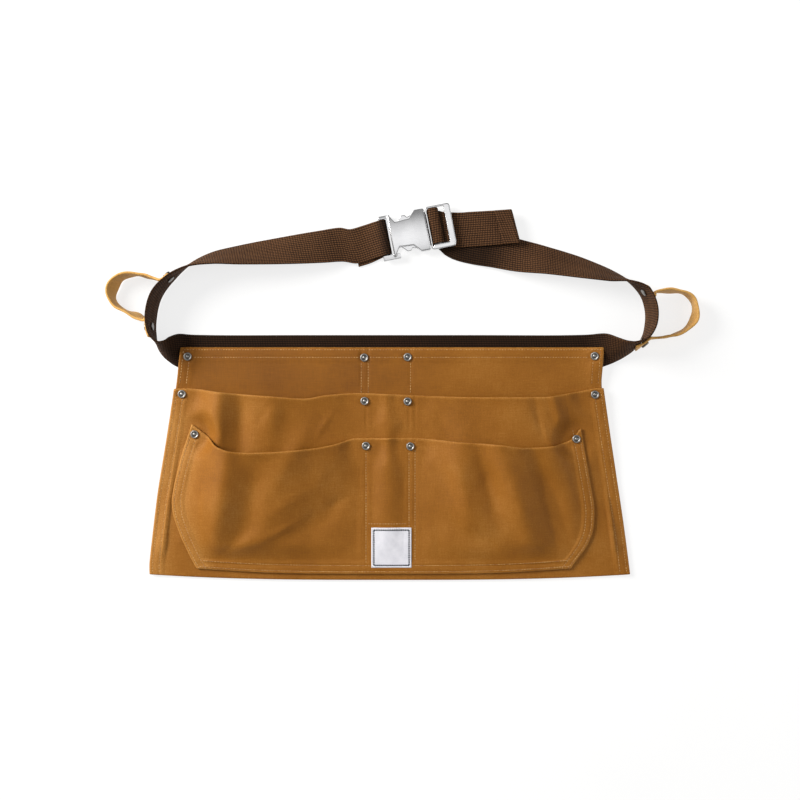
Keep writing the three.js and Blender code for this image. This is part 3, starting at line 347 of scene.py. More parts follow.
# %% Forms of the bays
# crest, mouth, middle, foot
UPPER_FORMS = [(0.3, 1, 0.62, 0.2), (0.5, 1, 0.5, 0.1), (0.6, 0.86, 0.55, 0.2)]
LOWER_FORMS = [(0.3, 1, 0.76, 0.22), (0.5, 1, 0.5, 0.15), (0.54, 0.7, 0.52, 0.2)]
UPPER_DEPTH = 14
LOWER_DEPTH = 20
SLOT_DEPTH = 4
# height and pitch of the slow and of the fine ripple
SLOW_RIPPLE = (1.3, 90)
FINE_RIPPLE = (0.35, 24)
HEM_FADE = 30
SIDE_FADE = (1, 16)
SEAM_FADE = 0.16
ROUNDNESS = 1.3
LOW_FOOT = 0.2
FOOT_UP = 0.12

upper_panel = {
    "left": upper_left, "right": upper_right, "height": UPPER_HEIGHT, "depth": UPPER_DEPTH,
    "hem_flat": 10, "rivets": ("upper", "lower"), "forms": UPPER_FORMS, "folds": UPPER_FOLDS,
    "creases": UPPER_CREASES, "side_folds": True, "seed": 11,
}
lower_panel = {
    "left": lower_left, "right": lower_right, "height": LOWER_HEIGHT, "depth": LOWER_DEPTH,
    "hem_flat": 12, "rivets": ("lower",), "forms": LOWER_FORMS, "folds": LOWER_FOLDS,
    "creases": LOWER_CREASES, "side_folds": False, "seed": 12,
}


def bays_between(left, right):
    return [
        (left + EDGE_FLAT, SEAM_LEFT - SEAM_FLAT),
        (SEAM_LEFT + SEAM_FLAT, SEAM_RIGHT - SEAM_FLAT),
        (SEAM_RIGHT + SEAM_FLAT, right - EDGE_FLAT),
    ]


def pocket_lift(panel, x, y):
    x, y = np.broadcast_arrays(np.asarray(x, float), np.asarray(y, float))
    left, right = panel["left"](y), panel["right"](y)
    up = np.clip((y - HEM_Y) / panel["height"], 0, 1)
    keep = near_rivets(x, y, panel["rivets"])
    hem_fade = ease(y - HEM_Y, panel["hem_flat"], panel["hem_flat"] + HEM_FADE)
    inward = np.minimum(x - left, right - x)
    soft = fold_height(panel["folds"], x, y) + fold_height(panel["creases"], x, y)
    soft = soft + SLOW_RIPPLE[0] * ripple(x, y, panel["seed"], SLOW_RIPPLE[1])
    soft = soft + FINE_RIPPLE[0] * ripple(x, y, panel["seed"] + 5, FINE_RIPPLE[1])
    folds = soft * hem_fade * keep * ease(inward, *SIDE_FADE)
    lift = np.maximum(0, folds) if panel["side_folds"] else np.zeros_like(x)
    for number, (low, high) in enumerate(bays_between(left, right)):
        crest, mouth, middle, foot = panel["forms"][number]
        share = np.clip((x - low) / (high - low), 0, 1)
        climb = np.where(share < crest, share / crest, (1 - share) / (1 - crest))
        round_form = np.sin(math.pi / 2 * climb) ** ROUNDNESS
        down = read_table([(0, foot * LOW_FOOT), (FOOT_UP, foot), (0.5, middle), (1, mouth)], up)
        depth = (SLOT_DEPTH if number == 1 else panel["depth"]) * down
        seam_fade = ease(np.minimum(share, 1 - share), 0, SEAM_FADE)
        here = np.maximum(0, (depth * round_form * keep + folds * seam_fade) * hem_fade)
        lift = np.where((x > low) & (x < high), here, lift)
    return lift


# %% [markdown]
# ## Hems and puckers
#
# A hem is the same canvas turned over twice, so it stands proud of the panel in a narrow band.
# Thread pulls the cloth in a little at every stitch row, which leaves small even puckers across
# the row. Both are added as heights, because at this size a height is all that light can find.


# %% Bands, seams and puckers
def band(distance, width, height):
    return height * (1 - ease(distance, width - 0.6, width + 1.2)) * ease(distance, -0.5, 0.8)


def row_pull(distance, along, pitch=7.5, depth=0.45):
    reach = np.exp(-((distance / 1.1) ** 2))
    soft = np.exp(-((distance / 5.5) ** 2))
    return -depth * reach + 0.08 * soft * np.sin(2 * math.pi * along / pitch + 0.6 * np.sin(along / 9))


SIDE_HEM = 13.5
SIDE_ROWS = (3.2, 10.4)
TOP_HEM = 13
TOP_ROWS = (2, 10.3)


def back_detail(x, y):
    side = half_width(y) - np.abs(x)
    top = TOP_Y - y
    rise = band(side, SIDE_HEM, 0.8) + band(top, TOP_HEM, 0.8) * ease(side, 0, 6)
    for row in SIDE_ROWS:
        rise = rise + row_pull(side - row, y)
    for row in TOP_ROWS:
        rise = rise + row_pull(top - row, x)
    return rise + 0.25 * ripple(x, y, 3, 60) + 0.25


TOP_SEAM_ROWS = (SEAM_LEFT - 5.1, SEAM_LEFT + 2.5, SEAM_RIGHT + 0.2)
POCKET_SEAM_ROWS = (SEAM_LEFT, SEAM_RIGHT - 1.4, SEAM_RIGHT + 5.1)


def seam_pull(x, y, rows):
    return sum(row_pull(x - row, y) for row in rows)


def rivet_dimple(x, y, rows):
    share = 1.0
    for _, rivet_x, rivet_y, row in RIVETS:
        if row in rows:
            share = share * ease(np.hypot(x - rivet_x, y - rivet_y), 4.4, 8)
    return share


def back_top(x, y):
    return on_top_of(back_under, BACK_CANVAS)(x, y)


def upper_under(x, y):
    return back_top(x, y) + LAYER_GAP + pocket_lift(upper_panel, x, y)


def upper_top(x, y):
    return on_top_of(upper_under, POCKET_CANVAS)(x, y)


def lower_under(x, y):
    return upper_top(x, y) + POCKET_GAP + pocket_lift(lower_panel, x, y)


def lower_top(x, y):
    return on_top_of(lower_under, POCKET_CANVAS)(x, y)


# %% [markdown]
# ## Mouth lines
#
# A pocket mouth hangs in a shallow curve between its rivets. The tables give the drop of the
# edge below the pocket's highest point, from the left side at -1 to the right side at 1.

# %% Mouth lines of both pockets
UPPER_MOUTH = [
    (-1, 0.004), (-0.95, 0.002), (-0.76, 0.025), (-0.54, 0.044), (-0.385, 0.055), (-0.285, 0.037),
    (-0.14, 0.026), (0.08, 0.037), (0.42, 0.048), (0.7, 0.047), (0.86, 0.023), (0.97, 0),
]
LOWER_MOUTH = [
    (-1, 0), (-0.912, 0.07), (-0.818, 0.144), (-0.742, 0.172), (-0.663, 0.179), (-0.452, 0.166),
    (-0.357, 0.154), (-0.258, 0.131), (-0.14, 0.09), (0.098, 0.089), (0.394, 0.117),
    (0.541, 0.129), (0.69, 0.149), (0.826, 0.14), (0.938, 0.102), (1, 0.027),
]


def upper_mouth(across):
    return HEM_Y + UPPER_HEIGHT * (1 - read_table(UPPER_MOUTH, across))


def lower_mouth(across):
    return HEM_Y + LOWER_HEIGHT * (1 - read_table(LOWER_MOUTH, across))


def lower_hem(across):
    return hem_line(across) + LOWER_HEM_MARGIN


# %% [markdown]
# ## From heights to a sheet
#
# A sheet of cloth has an upper face, an under face and a rim. The grid follows the cut: columns
# run from side to side through the bays, close together at the hems, and rows run from hem to
# mouth. The rim gets an extra row of points pushed outwards, so every cut edge looks rolled.


# %% Grid of a panel
def spread(low, high, step):
    count = max(1, round(abs(high - low) / step))
    return np.linspace(low, high, count + 1)[1:]


def panel_grid(left, right, low_edge, high_edge, step, row_step):
    def stops(y):
        bays = bays_between(left(y), right(y))
        lines = [left(y)] + [edge + 0 * y for bay in bays for edge in bay] + [right(y)]
        return np.array(lines)

    middle_y = np.zeros(1)
    widths = np.diff(stops(middle_y)[:, 0])
    shares = [np.zeros(1)]
    for index, width in enumerate(widths):
        fine = step if index % 2 else step / 2
        count = max(2, round(width / fine))
        shares.append(index + np.linspace(0, 1, count + 1)[1:])
    shares = np.concatenate(shares)
    index = np.minimum(np.floor(shares).astype(int), len(widths) - 1)
    part = (shares - index)[:, None]
    here = stops(middle_y)[:, 0]
    flat_x = here[index] + part[:, 0] * (here[index + 1] - here[index])
    middle, half = (here[0] + here[-1]) / 2, (here[-1] - here[0]) / 2
    across = np.clip((flat_x - middle) / half, -1, 1)
    low, high = low_edge(across), high_edge(across)
    length = float(np.mean(high - low))
    rows = np.concatenate([[0], spread(0, 12, row_step / 2), spread(12, length - 12, row_step),
                           spread(length - 12, length, row_step / 2)]) / length
    y = low[:, None] + (high - low)[:, None] * rows[None, :]
    lines = stops(y)
    column = np.arange(len(shares))[:, None]
    row = np.arange(len(rows))[None, :]
    from_x = lines[index[:, None], column, row]
    to_x = lines[index[:, None] + 1, column, row]
    return from_x + part * (to_x - from_x), y


# %% [markdown]
# ## A cut that is a little askew
#
# The sides of the real apron are not ruler lines. The right side drops straight down beside the
# top strip and only then slants out. `askew` moves finished points sideways by a few millimetres
# towards each side, so cloth, thread and rivets all move together.

# %% Sideways drift of both sides
# height, millimetres to the right
LEFT_DRIFT = [(-64, 0.8), (-43, -1.4), (22, -1.2), (87, 1.3), (147, 2.4), (187, 2.2)]
RIGHT_DRIFT = [(-64, -2.4), (-11, -3.4), (54, -5.4), (87, -6.3), (143, -6.9), (166, -3.3), (187, 0.9)]


def askew(points):
    moved = np.array(points, float)
    x, y = moved[:, 0], moved[:, 1]
    left = read_table(LEFT_DRIFT, y) * ease(-x, 90, 232)
    right = read_table(RIGHT_DRIFT, y) * ease(x, 90, 232)
    moved[:, 0] = x + left + right
    return moved


# %% [markdown]
# ## Making a mesh from arrays
#
# Every piece in this file ends in `make_piece`: points in millimetres, quads or triangles, one
# material, and flat cloth coordinates in metres for the weave. It also hangs the piece on the
# root body.


# %% Make a piece
def make_piece(name, points, faces, material, cloth=None, marks=None):
    mesh = bpy.data.meshes.new(name)
    mesh.from_pydata((np.asarray(points) * MM).tolist(), [], [list(map(int, f)) for f in faces])
    corner = np.zeros(len(mesh.loops), dtype=np.int32)
    mesh.loops.foreach_get("vertex_index", corner)
    if cloth is not None:
        layer = mesh.uv_layers.new(name="cloth")
        layer.data.foreach_set("uv", (np.asarray(cloth)[corner] * MM).astype(np.float32).ravel())
    for mark, values in (marks or {}).items():
        layer = mesh.attributes.new(mark, "FLOAT", "POINT")
        layer.data.foreach_set("value", np.asarray(values, dtype=np.float32))
    mesh.polygons.foreach_set("use_smooth", [True] * len(mesh.polygons))
    mesh.materials.append(material)
    mesh.validate()
    piece = bpy.data.objects.new(name, mesh)
    bpy.context.scene.collection.objects.link(piece)
    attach(piece, "root")
    print(name, "faces:", len(mesh.polygons))
    return piece


# %% [markdown]
# ## Two faces and a rim
#
# A pocket's mouth shows how thick its cloth is. A solidify modifier would push points along their
# normals and pinch the folds, so a sheet is built from two heights and one rolled rim instead.

# %% Sheet from a grid
def cloth_sheet(name, x, y, low, high, material, wear_and_painted_light, replaces):
    columns, rows = x.shape
    count = columns * rows
    number = np.arange(count).reshape(columns, rows)
    top = np.stack([x, y, high], axis=-1).reshape(-1, 3)
    bottom = np.stack([x, y, low], axis=-1).reshape(-1, 3)
    rim = np.concatenate([
        number[:-1, 0], number[-1, :-1], number[:0:-1, -1], number[0, :0:-1],
    ])
    edge_high, edge_low = top[rim], bottom[rim]
    run = np.roll(edge_high, -1, axis=0) - np.roll(edge_high, 1, axis=0)
    outward = np.stack([run[:, 1], -run[:, 0]], axis=-1)
    outward /= np.maximum(1e-6, np.linalg.norm(outward, axis=1))[:, None]
    middle = (edge_high + edge_low) / 2
    middle[:, :2] += outward * 0.45 * POCKET_CANVAS
    points = askew(np.concatenate([top, bottom, middle]))
    a, b, c, d = number[:-1, :-1], number[1:, :-1], number[1:, 1:], number[:-1, 1:]
    upper = np.stack([a, b, c, d], axis=-1).reshape(-1, 4)
    under = upper[:, ::-1] + count
    ring = np.arange(len(rim)) + 2 * count
    after = np.roll(ring, -1)
    rim_after = np.roll(rim, -1)
    side_high = np.stack([rim, ring, after, rim_after], axis=-1)
    side_low = np.stack([ring, rim + count, rim_after + count, after], axis=-1)
    faces = np.concatenate([upper, under, side_high, side_low])
    flat = np.concatenate([top[:, :2], bottom[:, :2], middle[:, :2]])
    # the mark holds real wear and painted light; the rolled rim counts as worn
    wear_and_light_mark = np.concatenate([wear_and_painted_light.ravel(), wear_and_painted_light.ravel(), np.ones(len(rim))])
    piece = make_piece(name, points, faces, material, cloth=flat, marks={"wear_and_painted_light": wear_and_light_mark})
    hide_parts(replaces)
    return piece


# %% [markdown]
# ## A short way to wire a material
#
# Materials are networks of nodes. `wire` adds one node and sets or joins its sockets in one
# line, so a finish reads from its coordinates at the top to its shader at the bottom. Values
# that are the same all over a surface are set straight on the shader.


# %% Node helpers
def new_finish(name):
    material = bpy.data.materials.new(name)
    material.use_nodes = True
    tree = material.node_tree
    tree.nodes.clear()
    output = tree.nodes.new("ShaderNodeOutputMaterial")
    shader = tree.nodes.new("ShaderNodeBsdfPrincipled")
    tree.links.new(shader.outputs[0], output.inputs["Surface"])
    return material, tree, shader


def wire(tree, kind, sockets=None, out=0, **settings):
    node = tree.nodes.new(kind)
    for key, value in settings.items():
        setattr(node, key, value)
    for key, value in (sockets or {}).items():
        if isinstance(value, bpy.types.NodeSocket):
            tree.links.new(value, node.inputs[key])
        else:
            node.inputs[key].default_value = value
    return node.outputs[out]


def sums(tree, operation, first, second=0.0):
    return wire(tree, "ShaderNodeMath", {0: first, 1: second}, operation=operation)


def ramp(tree, factor, stops):
    socket = wire(tree, "ShaderNodeValToRGB", {"Fac": factor})
    band_of = socket.node.color_ramp
    band_of.elements[0].position, band_of.elements[0].color = stops[0][0], (*stops[0][1], 1)
    band_of.elements[1].position, band_of.elements[1].color = stops[-1][0], (*stops[-1][1], 1)
    for place, colour in stops[1:-1]:
        band_of.elements.new(place).color = (*colour, 1)
    return socket


def mixed(tree, factor, first, second):
    node = tree.nodes.new("ShaderNodeMix")
    node.data_type = "RGBA"
    for key, value in ((0, factor), (6, first), (7, second)):
        if isinstance(value, bpy.types.NodeSocket):
            tree.links.new(value, node.inputs[key])
        else:
            node.inputs[key].default_value = value if key == 0 else (*value, 1)
    return node.outputs[2]


def noise(tree, place, scale, detail=3.0, rough=0.5):
    sockets = {"Vector": place, "Scale": scale, "Detail": detail, "Roughness": rough}
    return wire(tree, "ShaderNodeTexNoise", sockets)


# %% [markdown]
# ## Duck canvas
#
# Duck is a tight plain weave of thick cotton yarns. Close by, one yarn passes over the next; a
# little further off the eye sees only uneven yarns and pale flecks of raw cotton. The weave is
# two crossed sine waves on the cloth coordinates, and the flecks are fine noise. The wear and
# painted light mark in the mesh makes edges that rub, such as hems and mouths, paler with real
# wear; it also carries a painted highlight down the left side and painted shade on the back panel.


# %% Canvas finish
YARN = 0.62


def canvas_finish(name, dark, base, light):
    material, tree, shader = new_finish(name)
    flat = wire(tree, "ShaderNodeUVMap", uv_map="cloth")
    split = wire(tree, "ShaderNodeSeparateXYZ", {0: flat}).node
    turns = 2 * math.pi / (YARN * MM)
    weft = sums(tree, "SINE", sums(tree, "MULTIPLY", split.outputs[0], turns))
    warp = sums(tree, "SINE", sums(tree, "MULTIPLY", split.outputs[1], turns))
    weave = sums(tree, "MULTIPLY", weft, warp)
    stretched = wire(tree, "ShaderNodeMapping", {"Vector": flat, "Scale": (1, 0.08, 1)})
    laid = wire(tree, "ShaderNodeMapping", {"Vector": flat, "Scale": (0.08, 1, 1)})
    warp_yarns = noise(tree, stretched, 900, 2)
    weft_yarns = noise(tree, laid, 900, 2)
    yarns = sums(tree, "ADD", sums(tree, "MULTIPLY", warp_yarns, 0.5),
                 sums(tree, "MULTIPLY", weft_yarns, 0.5))
    flecks = noise(tree, flat, 650, 3, 0.7)
    slow = noise(tree, flat, 14, 4, 0.55)
    wear_and_light_mark = wire(tree, "ShaderNodeAttribute", out=2, attribute_name="wear_and_painted_light")
    tone = sums(tree, "ADD", sums(tree, "MULTIPLY", yarns, 0.24), sums(tree, "MULTIPLY", flecks, 0.26))
    tone = sums(tree, "ADD", tone, 0.25)
    tone = sums(tree, "ADD", tone, sums(tree, "MULTIPLY", sums(tree, "SUBTRACT", slow, 0.5), 0.3))
    tone = sums(tree, "ADD", tone, sums(tree, "MULTIPLY", weave, 0.03))
    # the mark pales worn edges and the painted highlight down the left side, and darkens where shade is
    # painted
    wear_and_light_tone = sums(tree, "MULTIPLY", wear_and_light_mark, sums(tree, "MULTIPLY", flecks, 0.22))
    tone = sums(tree, "ADD", tone, wear_and_light_tone)
    colour = ramp(tree, tone, [(0.3, dark), (0.5, base), (0.74, light)])
    fleck = ramp(tree, flecks, [(0.66, (0, 0, 0)), (0.76, (1, 1, 1))])
    colour = mixed(tree, sums(tree, "MULTIPLY", fleck, 0.22), colour, tuple(min(1, c * 1.35) for c in light))
    relief = sums(tree, "ADD", sums(tree, "MULTIPLY", weave, 0.35), yarns)
    relief = sums(tree, "ADD", relief, sums(tree, "MULTIPLY", flecks, 0.6))
    bump = wire(tree, "ShaderNodeBump", {"Strength": 0.55, "Distance": 0.00022, "Height": relief})
    tree.links.new(colour, shader.inputs["Base Color"])
    tree.links.new(bump, shader.inputs["Normal"])
    shader.inputs["Roughness"].default_value = 0.6
    shader.inputs["Sheen Weight"].default_value = 0.04
    shader.inputs["Sheen Roughness"].default_value = 0.45
    shader.inputs["Sheen Tint"].default_value = (1.0, 0.75, 0.45, 1)
    shader.inputs["Specular IOR Level"].default_value = 0.22
    return material


canvas = canvas_finish("duck_canvas", (0.155, 0.05, 0.003), (0.285, 0.102, 0.006), (0.47, 0.215, 0.045))
# the loops' canvas is lighter than the apron's, partly their own colour and partly painted light so their
# shaded inner faces look lit
lit_loop_canvas = canvas_finish("duck_canvas_loops_painted_light", (0.4, 0.19, 0.04), (0.62, 0.34, 0.09), (0.78, 0.5, 0.2))

# %% [markdown]
# ## Back panel
#
# The back panel is the widest piece and the one that lies on the table. Only its top strip shows
# above the pockets, with a double row of thread along its top edge. It lies over the belt, so it is
# a full sheet from hem to top, not a strip. Its left part is darkened with painted shade, which is
# taken off the wear and painted light mark there.

# %% Back panel
BACK_STEP = 3.0
BACK_ROW_STEP = 2.8
GRID_STEP = 2.5
ROW_STEP = 2.4
EDGE_RUB = 0.9
EDGE_REACH = 1.6
TOP_RUB = 0.8
TOP_REACH = 1.5
HEM_LINE_RUB = 0.25
HEM_LINE = 13
HEM_LINE_REACH = 1.5
# a broad painted highlight down the left side: how pale, how far in, how wide, and where it ends
PAINTED_HIGHLIGHT_STRIP = 1.1
PAINTED_HIGHLIGHT_INWARD = 8
PAINTED_HIGHLIGHT_REACH = 13
PAINTED_HIGHLIGHT_END = (100, 160)
# painted shade on the back panel's left part: how dark, and where it fades out to the right
PAINTED_SHADE_LEFT = 0.85
PAINTED_SHADE_LEFT_END = (-60, 100)
STRIP_SHOWS = (143, 150)


def rub(distance, reach):
    return np.exp(-((distance / reach) ** 2))


def side_wear_and_painted_light(x, y, left, right):
    inward = np.minimum(x - left(y), right(y) - x)
    edges = EDGE_RUB * rub(inward, EDGE_REACH) + HEM_LINE_RUB * rub(inward - HEM_LINE, HEM_LINE_REACH)
    # real wear pales the edges; the broad strip down the left side is a painted highlight
    return edges + PAINTED_HIGHLIGHT_STRIP * rub(x - left(y) - PAINTED_HIGHLIGHT_INWARD, PAINTED_HIGHLIGHT_REACH) * (1 - ease(y, *PAINTED_HIGHLIGHT_END))


def plain_left(y):
    return -half_width(y)


def top_line(across):
    return TOP_Y + 0 * across


def back_face(x, y):
    detail = 0.8 * back_detail(x, y) * rivet_dimple(x, y, ("top",))
    detail = detail + seam_pull(x, y, TOP_SEAM_ROWS)
    return back_top(x, y) + detail * ease(y, *STRIP_SHOWS)


x, y = panel_grid(plain_left, half_width, hem_line, top_line, BACK_STEP, BACK_ROW_STEP)
# real edge wear plus the painted highlight down the left side
wear_and_painted_light = side_wear_and_painted_light(x, y, plain_left, half_width) + TOP_RUB * rub(TOP_Y - y, TOP_REACH)
# painted shade darkens the back panel's left part
wear_and_painted_light = wear_and_painted_light - PAINTED_SHADE_LEFT * (1 - ease(x, *PAINTED_SHADE_LEFT_END))
back_piece = cloth_sheet("canvas_back", x, y, back_under(x, y), back_face(x, y), canvas,
                         wear_and_painted_light, "back_panel")

# %% [markdown]
# ## Upper pocket
#
# The upper pocket covers most of the back panel and is sewn down at both sides, along the hem
# and at the two centre seams. Its hems stand proud, and each seam row pulls the cloth down.

# %% Upper pocket
def upper_face(x, y):
    side = np.minimum(x - upper_left(y), upper_right(y) - x)
    rise = band(side, SIDE_HEM, 0.9)
    for row in SIDE_ROWS:
        rise = rise + row_pull(side - row, y)
    rise = rise + seam_pull(x, y, POCKET_SEAM_ROWS) * ease(y, 90, 110)
    return upper_top(x, y) + (rise + 0.15) * rivet_dimple(x, y, ("upper", "lower"))


def mouth_lip(y, edge, height=0.5, width=5):
    drop = np.maximum(0, edge - y)
    return height * np.exp(-((drop / width) ** 2))


x, y = panel_grid(upper_left, upper_right, hem_line, upper_mouth, GRID_STEP, ROW_STEP)
edge = y[:, -1:]
# real edge wear plus the painted highlight down the left side
wear_and_painted_light = side_wear_and_painted_light(x, y, upper_left, upper_right) + EDGE_RUB * rub(edge - y, EDGE_REACH)
face = upper_face(x, y) + mouth_lip(y, edge)
upper_piece = cloth_sheet("canvas_upper_pocket", x, y, upper_under(x, y), face, canvas,
                          wear_and_painted_light, "upper_pocket_panel")

# %% [markdown]
# ## Lower pocket
#
# The lower pocket is the deepest piece: it has the big hand folds of the photograph. Its two
# lower corners are cut off at a slant, and a double row of thread follows the whole edge.

# %% Lower pocket
LOWER_SIDE_ROWS = (2.6, 9.4)
LOWER_BOTTOM_ROWS = (2.2, 8.9)
LOWER_HEM = 12.2
FOOT_RUB = 0.5
FOOT_REACH = 1.8


def lower_foot(x):
    return lower_hem(np.clip(x / half_width(HEM_Y), -1, 1))


def lower_face(x, y):
    side = np.minimum(x - lower_left(y), lower_right(y) - x)
    foot = y - lower_foot(x)
    edge_gap = np.minimum(side, foot)
    rise = band(edge_gap, LOWER_HEM, 0.75)
    for row in LOWER_SIDE_ROWS:
        rise = rise + row_pull(side - row, y) * ease(foot, 2, 6)
    for row in LOWER_BOTTOM_ROWS:
        rise = rise + row_pull(foot - row, x) * ease(side, 2, 6)
    rise = rise + seam_pull(x, y, POCKET_SEAM_ROWS) * ease(foot, 8, 14)
    return lower_top(x, y) + (rise + 0.15) * rivet_dimple(x, y, ("lower",))


x, y = panel_grid(lower_left, lower_right, lower_hem, lower_mouth, GRID_STEP, ROW_STEP)
edge = y[:, -1:]
foot_x, foot_y = x[:, 0], y[:, 0]
# real edge wear plus the painted highlight down the left side
wear_and_painted_light = side_wear_and_painted_light(x, y, lower_left, lower_right) + EDGE_RUB * rub(edge - y, EDGE_REACH)
wear_and_painted_light = wear_and_painted_light + FOOT_RUB * rub(y - y[:, :1], FOOT_REACH)
face = lower_face(x, y) + mouth_lip(y, edge, 0.6)
lower_piece = cloth_sheet("canvas_lower_pocket", x, y, lower_under(x, y), face, canvas,
                          wear_and_painted_light, "lower_pocket_panel")

# %% [markdown]
# ## Stitching
#
# Lockstitch thread sinks between needle holes and bulges between them. Each stitch here is a
# small bead of thread that follows the cloth below it, a little higher in its middle than at
# its ends, so that light catches the rows as it does on the real seams. A whole row is one
# mesh, because two thousand loose objects would be slow.


# %% Thread finish and rows of stitches
def thread_finish(name, dark, light, sheen=0.2):
    material, tree, shader = new_finish(name)
    place = wire(tree, "ShaderNodeTexCoord", out=3)
    colour = ramp(tree, noise(tree, place, 260, 2), [(0.35, dark), (0.65, light)])
    tree.links.new(colour, shader.inputs["Base Color"])
    strands = noise(tree, place, 2600, 1)
    bump = wire(tree, "ShaderNodeBump", {"Strength": 0.5, "Distance": 0.0001, "Height": strands})
    tree.links.new(bump, shader.inputs["Normal"])
    shader.inputs["Roughness"].default_value = 0.55
    shader.inputs["Sheen Weight"].default_value = sheen
    return material


gold_thread = thread_finish("golden_thread", (0.27, 0.1, 0.015), (0.6, 0.34, 0.1))
STITCH_PITCH = 3.0
STITCH_LENGTH = 2.3
STITCH_RADIUS = 0.42
BEAD_STATIONS = ((-0.5, 0.35), (-0.34, 0.85), (0, 1), (0.34, 0.85), (0.5, 0.35))
BEAD_SIDES = 6
BEAD_FLATNESS = 0.8
BEAD_SUNK = 0.35
CLOTH_PROBE = 0.5


def beads(centres, along, normals, length=STITCH_LENGTH, radius=STITCH_RADIUS, lift=0.25):
    side = np.cross(normals, along)
    side /= np.linalg.norm(side, axis=1)[:, None]
    rings = []
    for station, size in BEAD_STATIONS:
        arch = lift * (1 - (2 * station) ** 2) - BEAD_SUNK * lift
        for turn in range(BEAD_SIDES):
            angle = 2 * math.pi * turn / BEAD_SIDES
            spoke = math.cos(angle) * side + BEAD_FLATNESS * math.sin(angle) * normals
            rings.append(centres + along * (station * length) + normals * arch + spoke * radius * size)
    points = np.stack(rings, axis=1)
    faces = []
    for ring in range(len(BEAD_STATIONS) - 1):
        for turn in range(BEAD_SIDES):
            after = (turn + 1) % BEAD_SIDES
            low = ring * BEAD_SIDES
            faces.append([low + turn, low + after, low + BEAD_SIDES + after, low + BEAD_SIDES + turn])
    last = (len(BEAD_STATIONS) - 1) * BEAD_SIDES
    caps = [list(range(BEAD_SIDES - 1, -1, -1)), list(range(last, last + BEAD_SIDES))]
    per = points.shape[1]
    every = []
    for number in range(len(centres)):
        every.extend([[number * per + corner for corner in face] for face in faces + caps])
    return points.reshape(-1, 3), every


def row_on_cloth(line_x, line_y, level, pitch=STITCH_PITCH, clear_of=()):
    steps = np.hypot(np.diff(line_x), np.diff(line_y))
    walked = np.concatenate([[0], np.cumsum(steps)])
    places = np.arange(pitch / 2, walked[-1], pitch)
    x, y = np.interp(places, walked, line_x), np.interp(places, walked, line_y)
    if clear_of:
        free = rivet_dimple(x, y, clear_of) > 0.3
        x, y, places = x[free], y[free], places[free]
    ahead_x = np.interp(places + CLOTH_PROBE, walked, line_x)
    ahead_y = np.interp(places + CLOTH_PROBE, walked, line_y)
    back_x = np.interp(places - CLOTH_PROBE, walked, line_x)
    back_y = np.interp(places - CLOTH_PROBE, walked, line_y)
    z = level(x, y)
    climb = level(ahead_x, ahead_y) - level(back_x, back_y)
    along = np.stack([ahead_x - back_x, ahead_y - back_y, climb], axis=-1)
    along /= np.linalg.norm(along, axis=1)[:, None]
    slope_x = level(x + CLOTH_PROBE, y) - level(x - CLOTH_PROBE, y)
    slope_y = level(x, y + CLOTH_PROBE) - level(x, y - CLOTH_PROBE)
    normals = np.stack([-slope_x, -slope_y, np.ones_like(x)], axis=-1)
    normals /= np.linalg.norm(normals, axis=1)[:, None]
    return np.stack([x, y, z], axis=-1), along, normals


def sew(name, rows, material, slot, **size):
    parts = [np.concatenate(group) for group in zip(*rows)]
    points, faces = beads(*parts, **size)
    print(name, "stitches:", len(parts[0]))
    make_piece(name, askew(points), faces, material)


# %% [markdown]
# ## Rows on the back panel
#
# Two rows hold the top hem over the belt, two run down each side hem, and three run down the
# centre seams. They stop short of the rivets, as a machinist would to keep the needle whole.


# %% Sew the back panel
def straight(from_x, from_y, to_x, to_y):
    share = np.linspace(0, 1, 120)
    return from_x + (to_x - from_x) * share, from_y + (to_y - from_y) * share


def down_side(side_line, inset, low_y, high_y):
    y = np.linspace(low_y, high_y, 160)
    return side_line(y) + inset, y


SIDE_ROWS_FROM = 148
SEAM_ROWS_FROM = 138

rows = []
for row in TOP_ROWS:
    level_y = TOP_Y - row
    line = straight(-half_width(level_y) + 3, level_y, half_width(level_y) - 3, level_y)
    rows.append(row_on_cloth(*line, back_face, clear_of=("top",)))
for row in SIDE_ROWS:
    for side_line, inset in ((plain_left, row), (half_width, -row)):
        line = down_side(side_line, inset, SIDE_ROWS_FROM, TOP_Y - 3)
        rows.append(row_on_cloth(*line, back_face, clear_of=("top",)))
for seam_x in TOP_SEAM_ROWS:
    line = straight(seam_x, SEAM_ROWS_FROM, seam_x, TOP_Y - 12)
    rows.append(row_on_cloth(*line, back_face, clear_of=("top",)))
sew("stitching_back", rows, gold_thread, "duck_canvas")

# %% [markdown]
# ## Rows on the upper pocket
#
# The upper pocket's side hems carry the long double rows that the eye follows down the apron.
# They follow the side lines of the cut, moved inwards, so they stay true when the cut changes.

# %% Sew the upper pocket
rows = []
for row in SIDE_ROWS:
    for side_line, inset in ((upper_left, row), (upper_right, -row)):
        line = down_side(side_line, inset, HEM_Y + 8, HEM_Y + UPPER_HEIGHT - 3)
        rows.append(row_on_cloth(*line, upper_face, clear_of=("upper",)))
sew("stitching_upper", rows, gold_thread, "duck_canvas")

# %% [markdown]
# ## Rows on the lower pocket
#
# The lower pocket is outlined by a double row, turned at the slanted corners. The centre seams show
# as one row on the left and two on the right, and one short row crosses the slot below its middle.

# %% Sew the lower pocket
SEAM_ROWS_TO = 88
SLOT_ROW_Y = -3.3

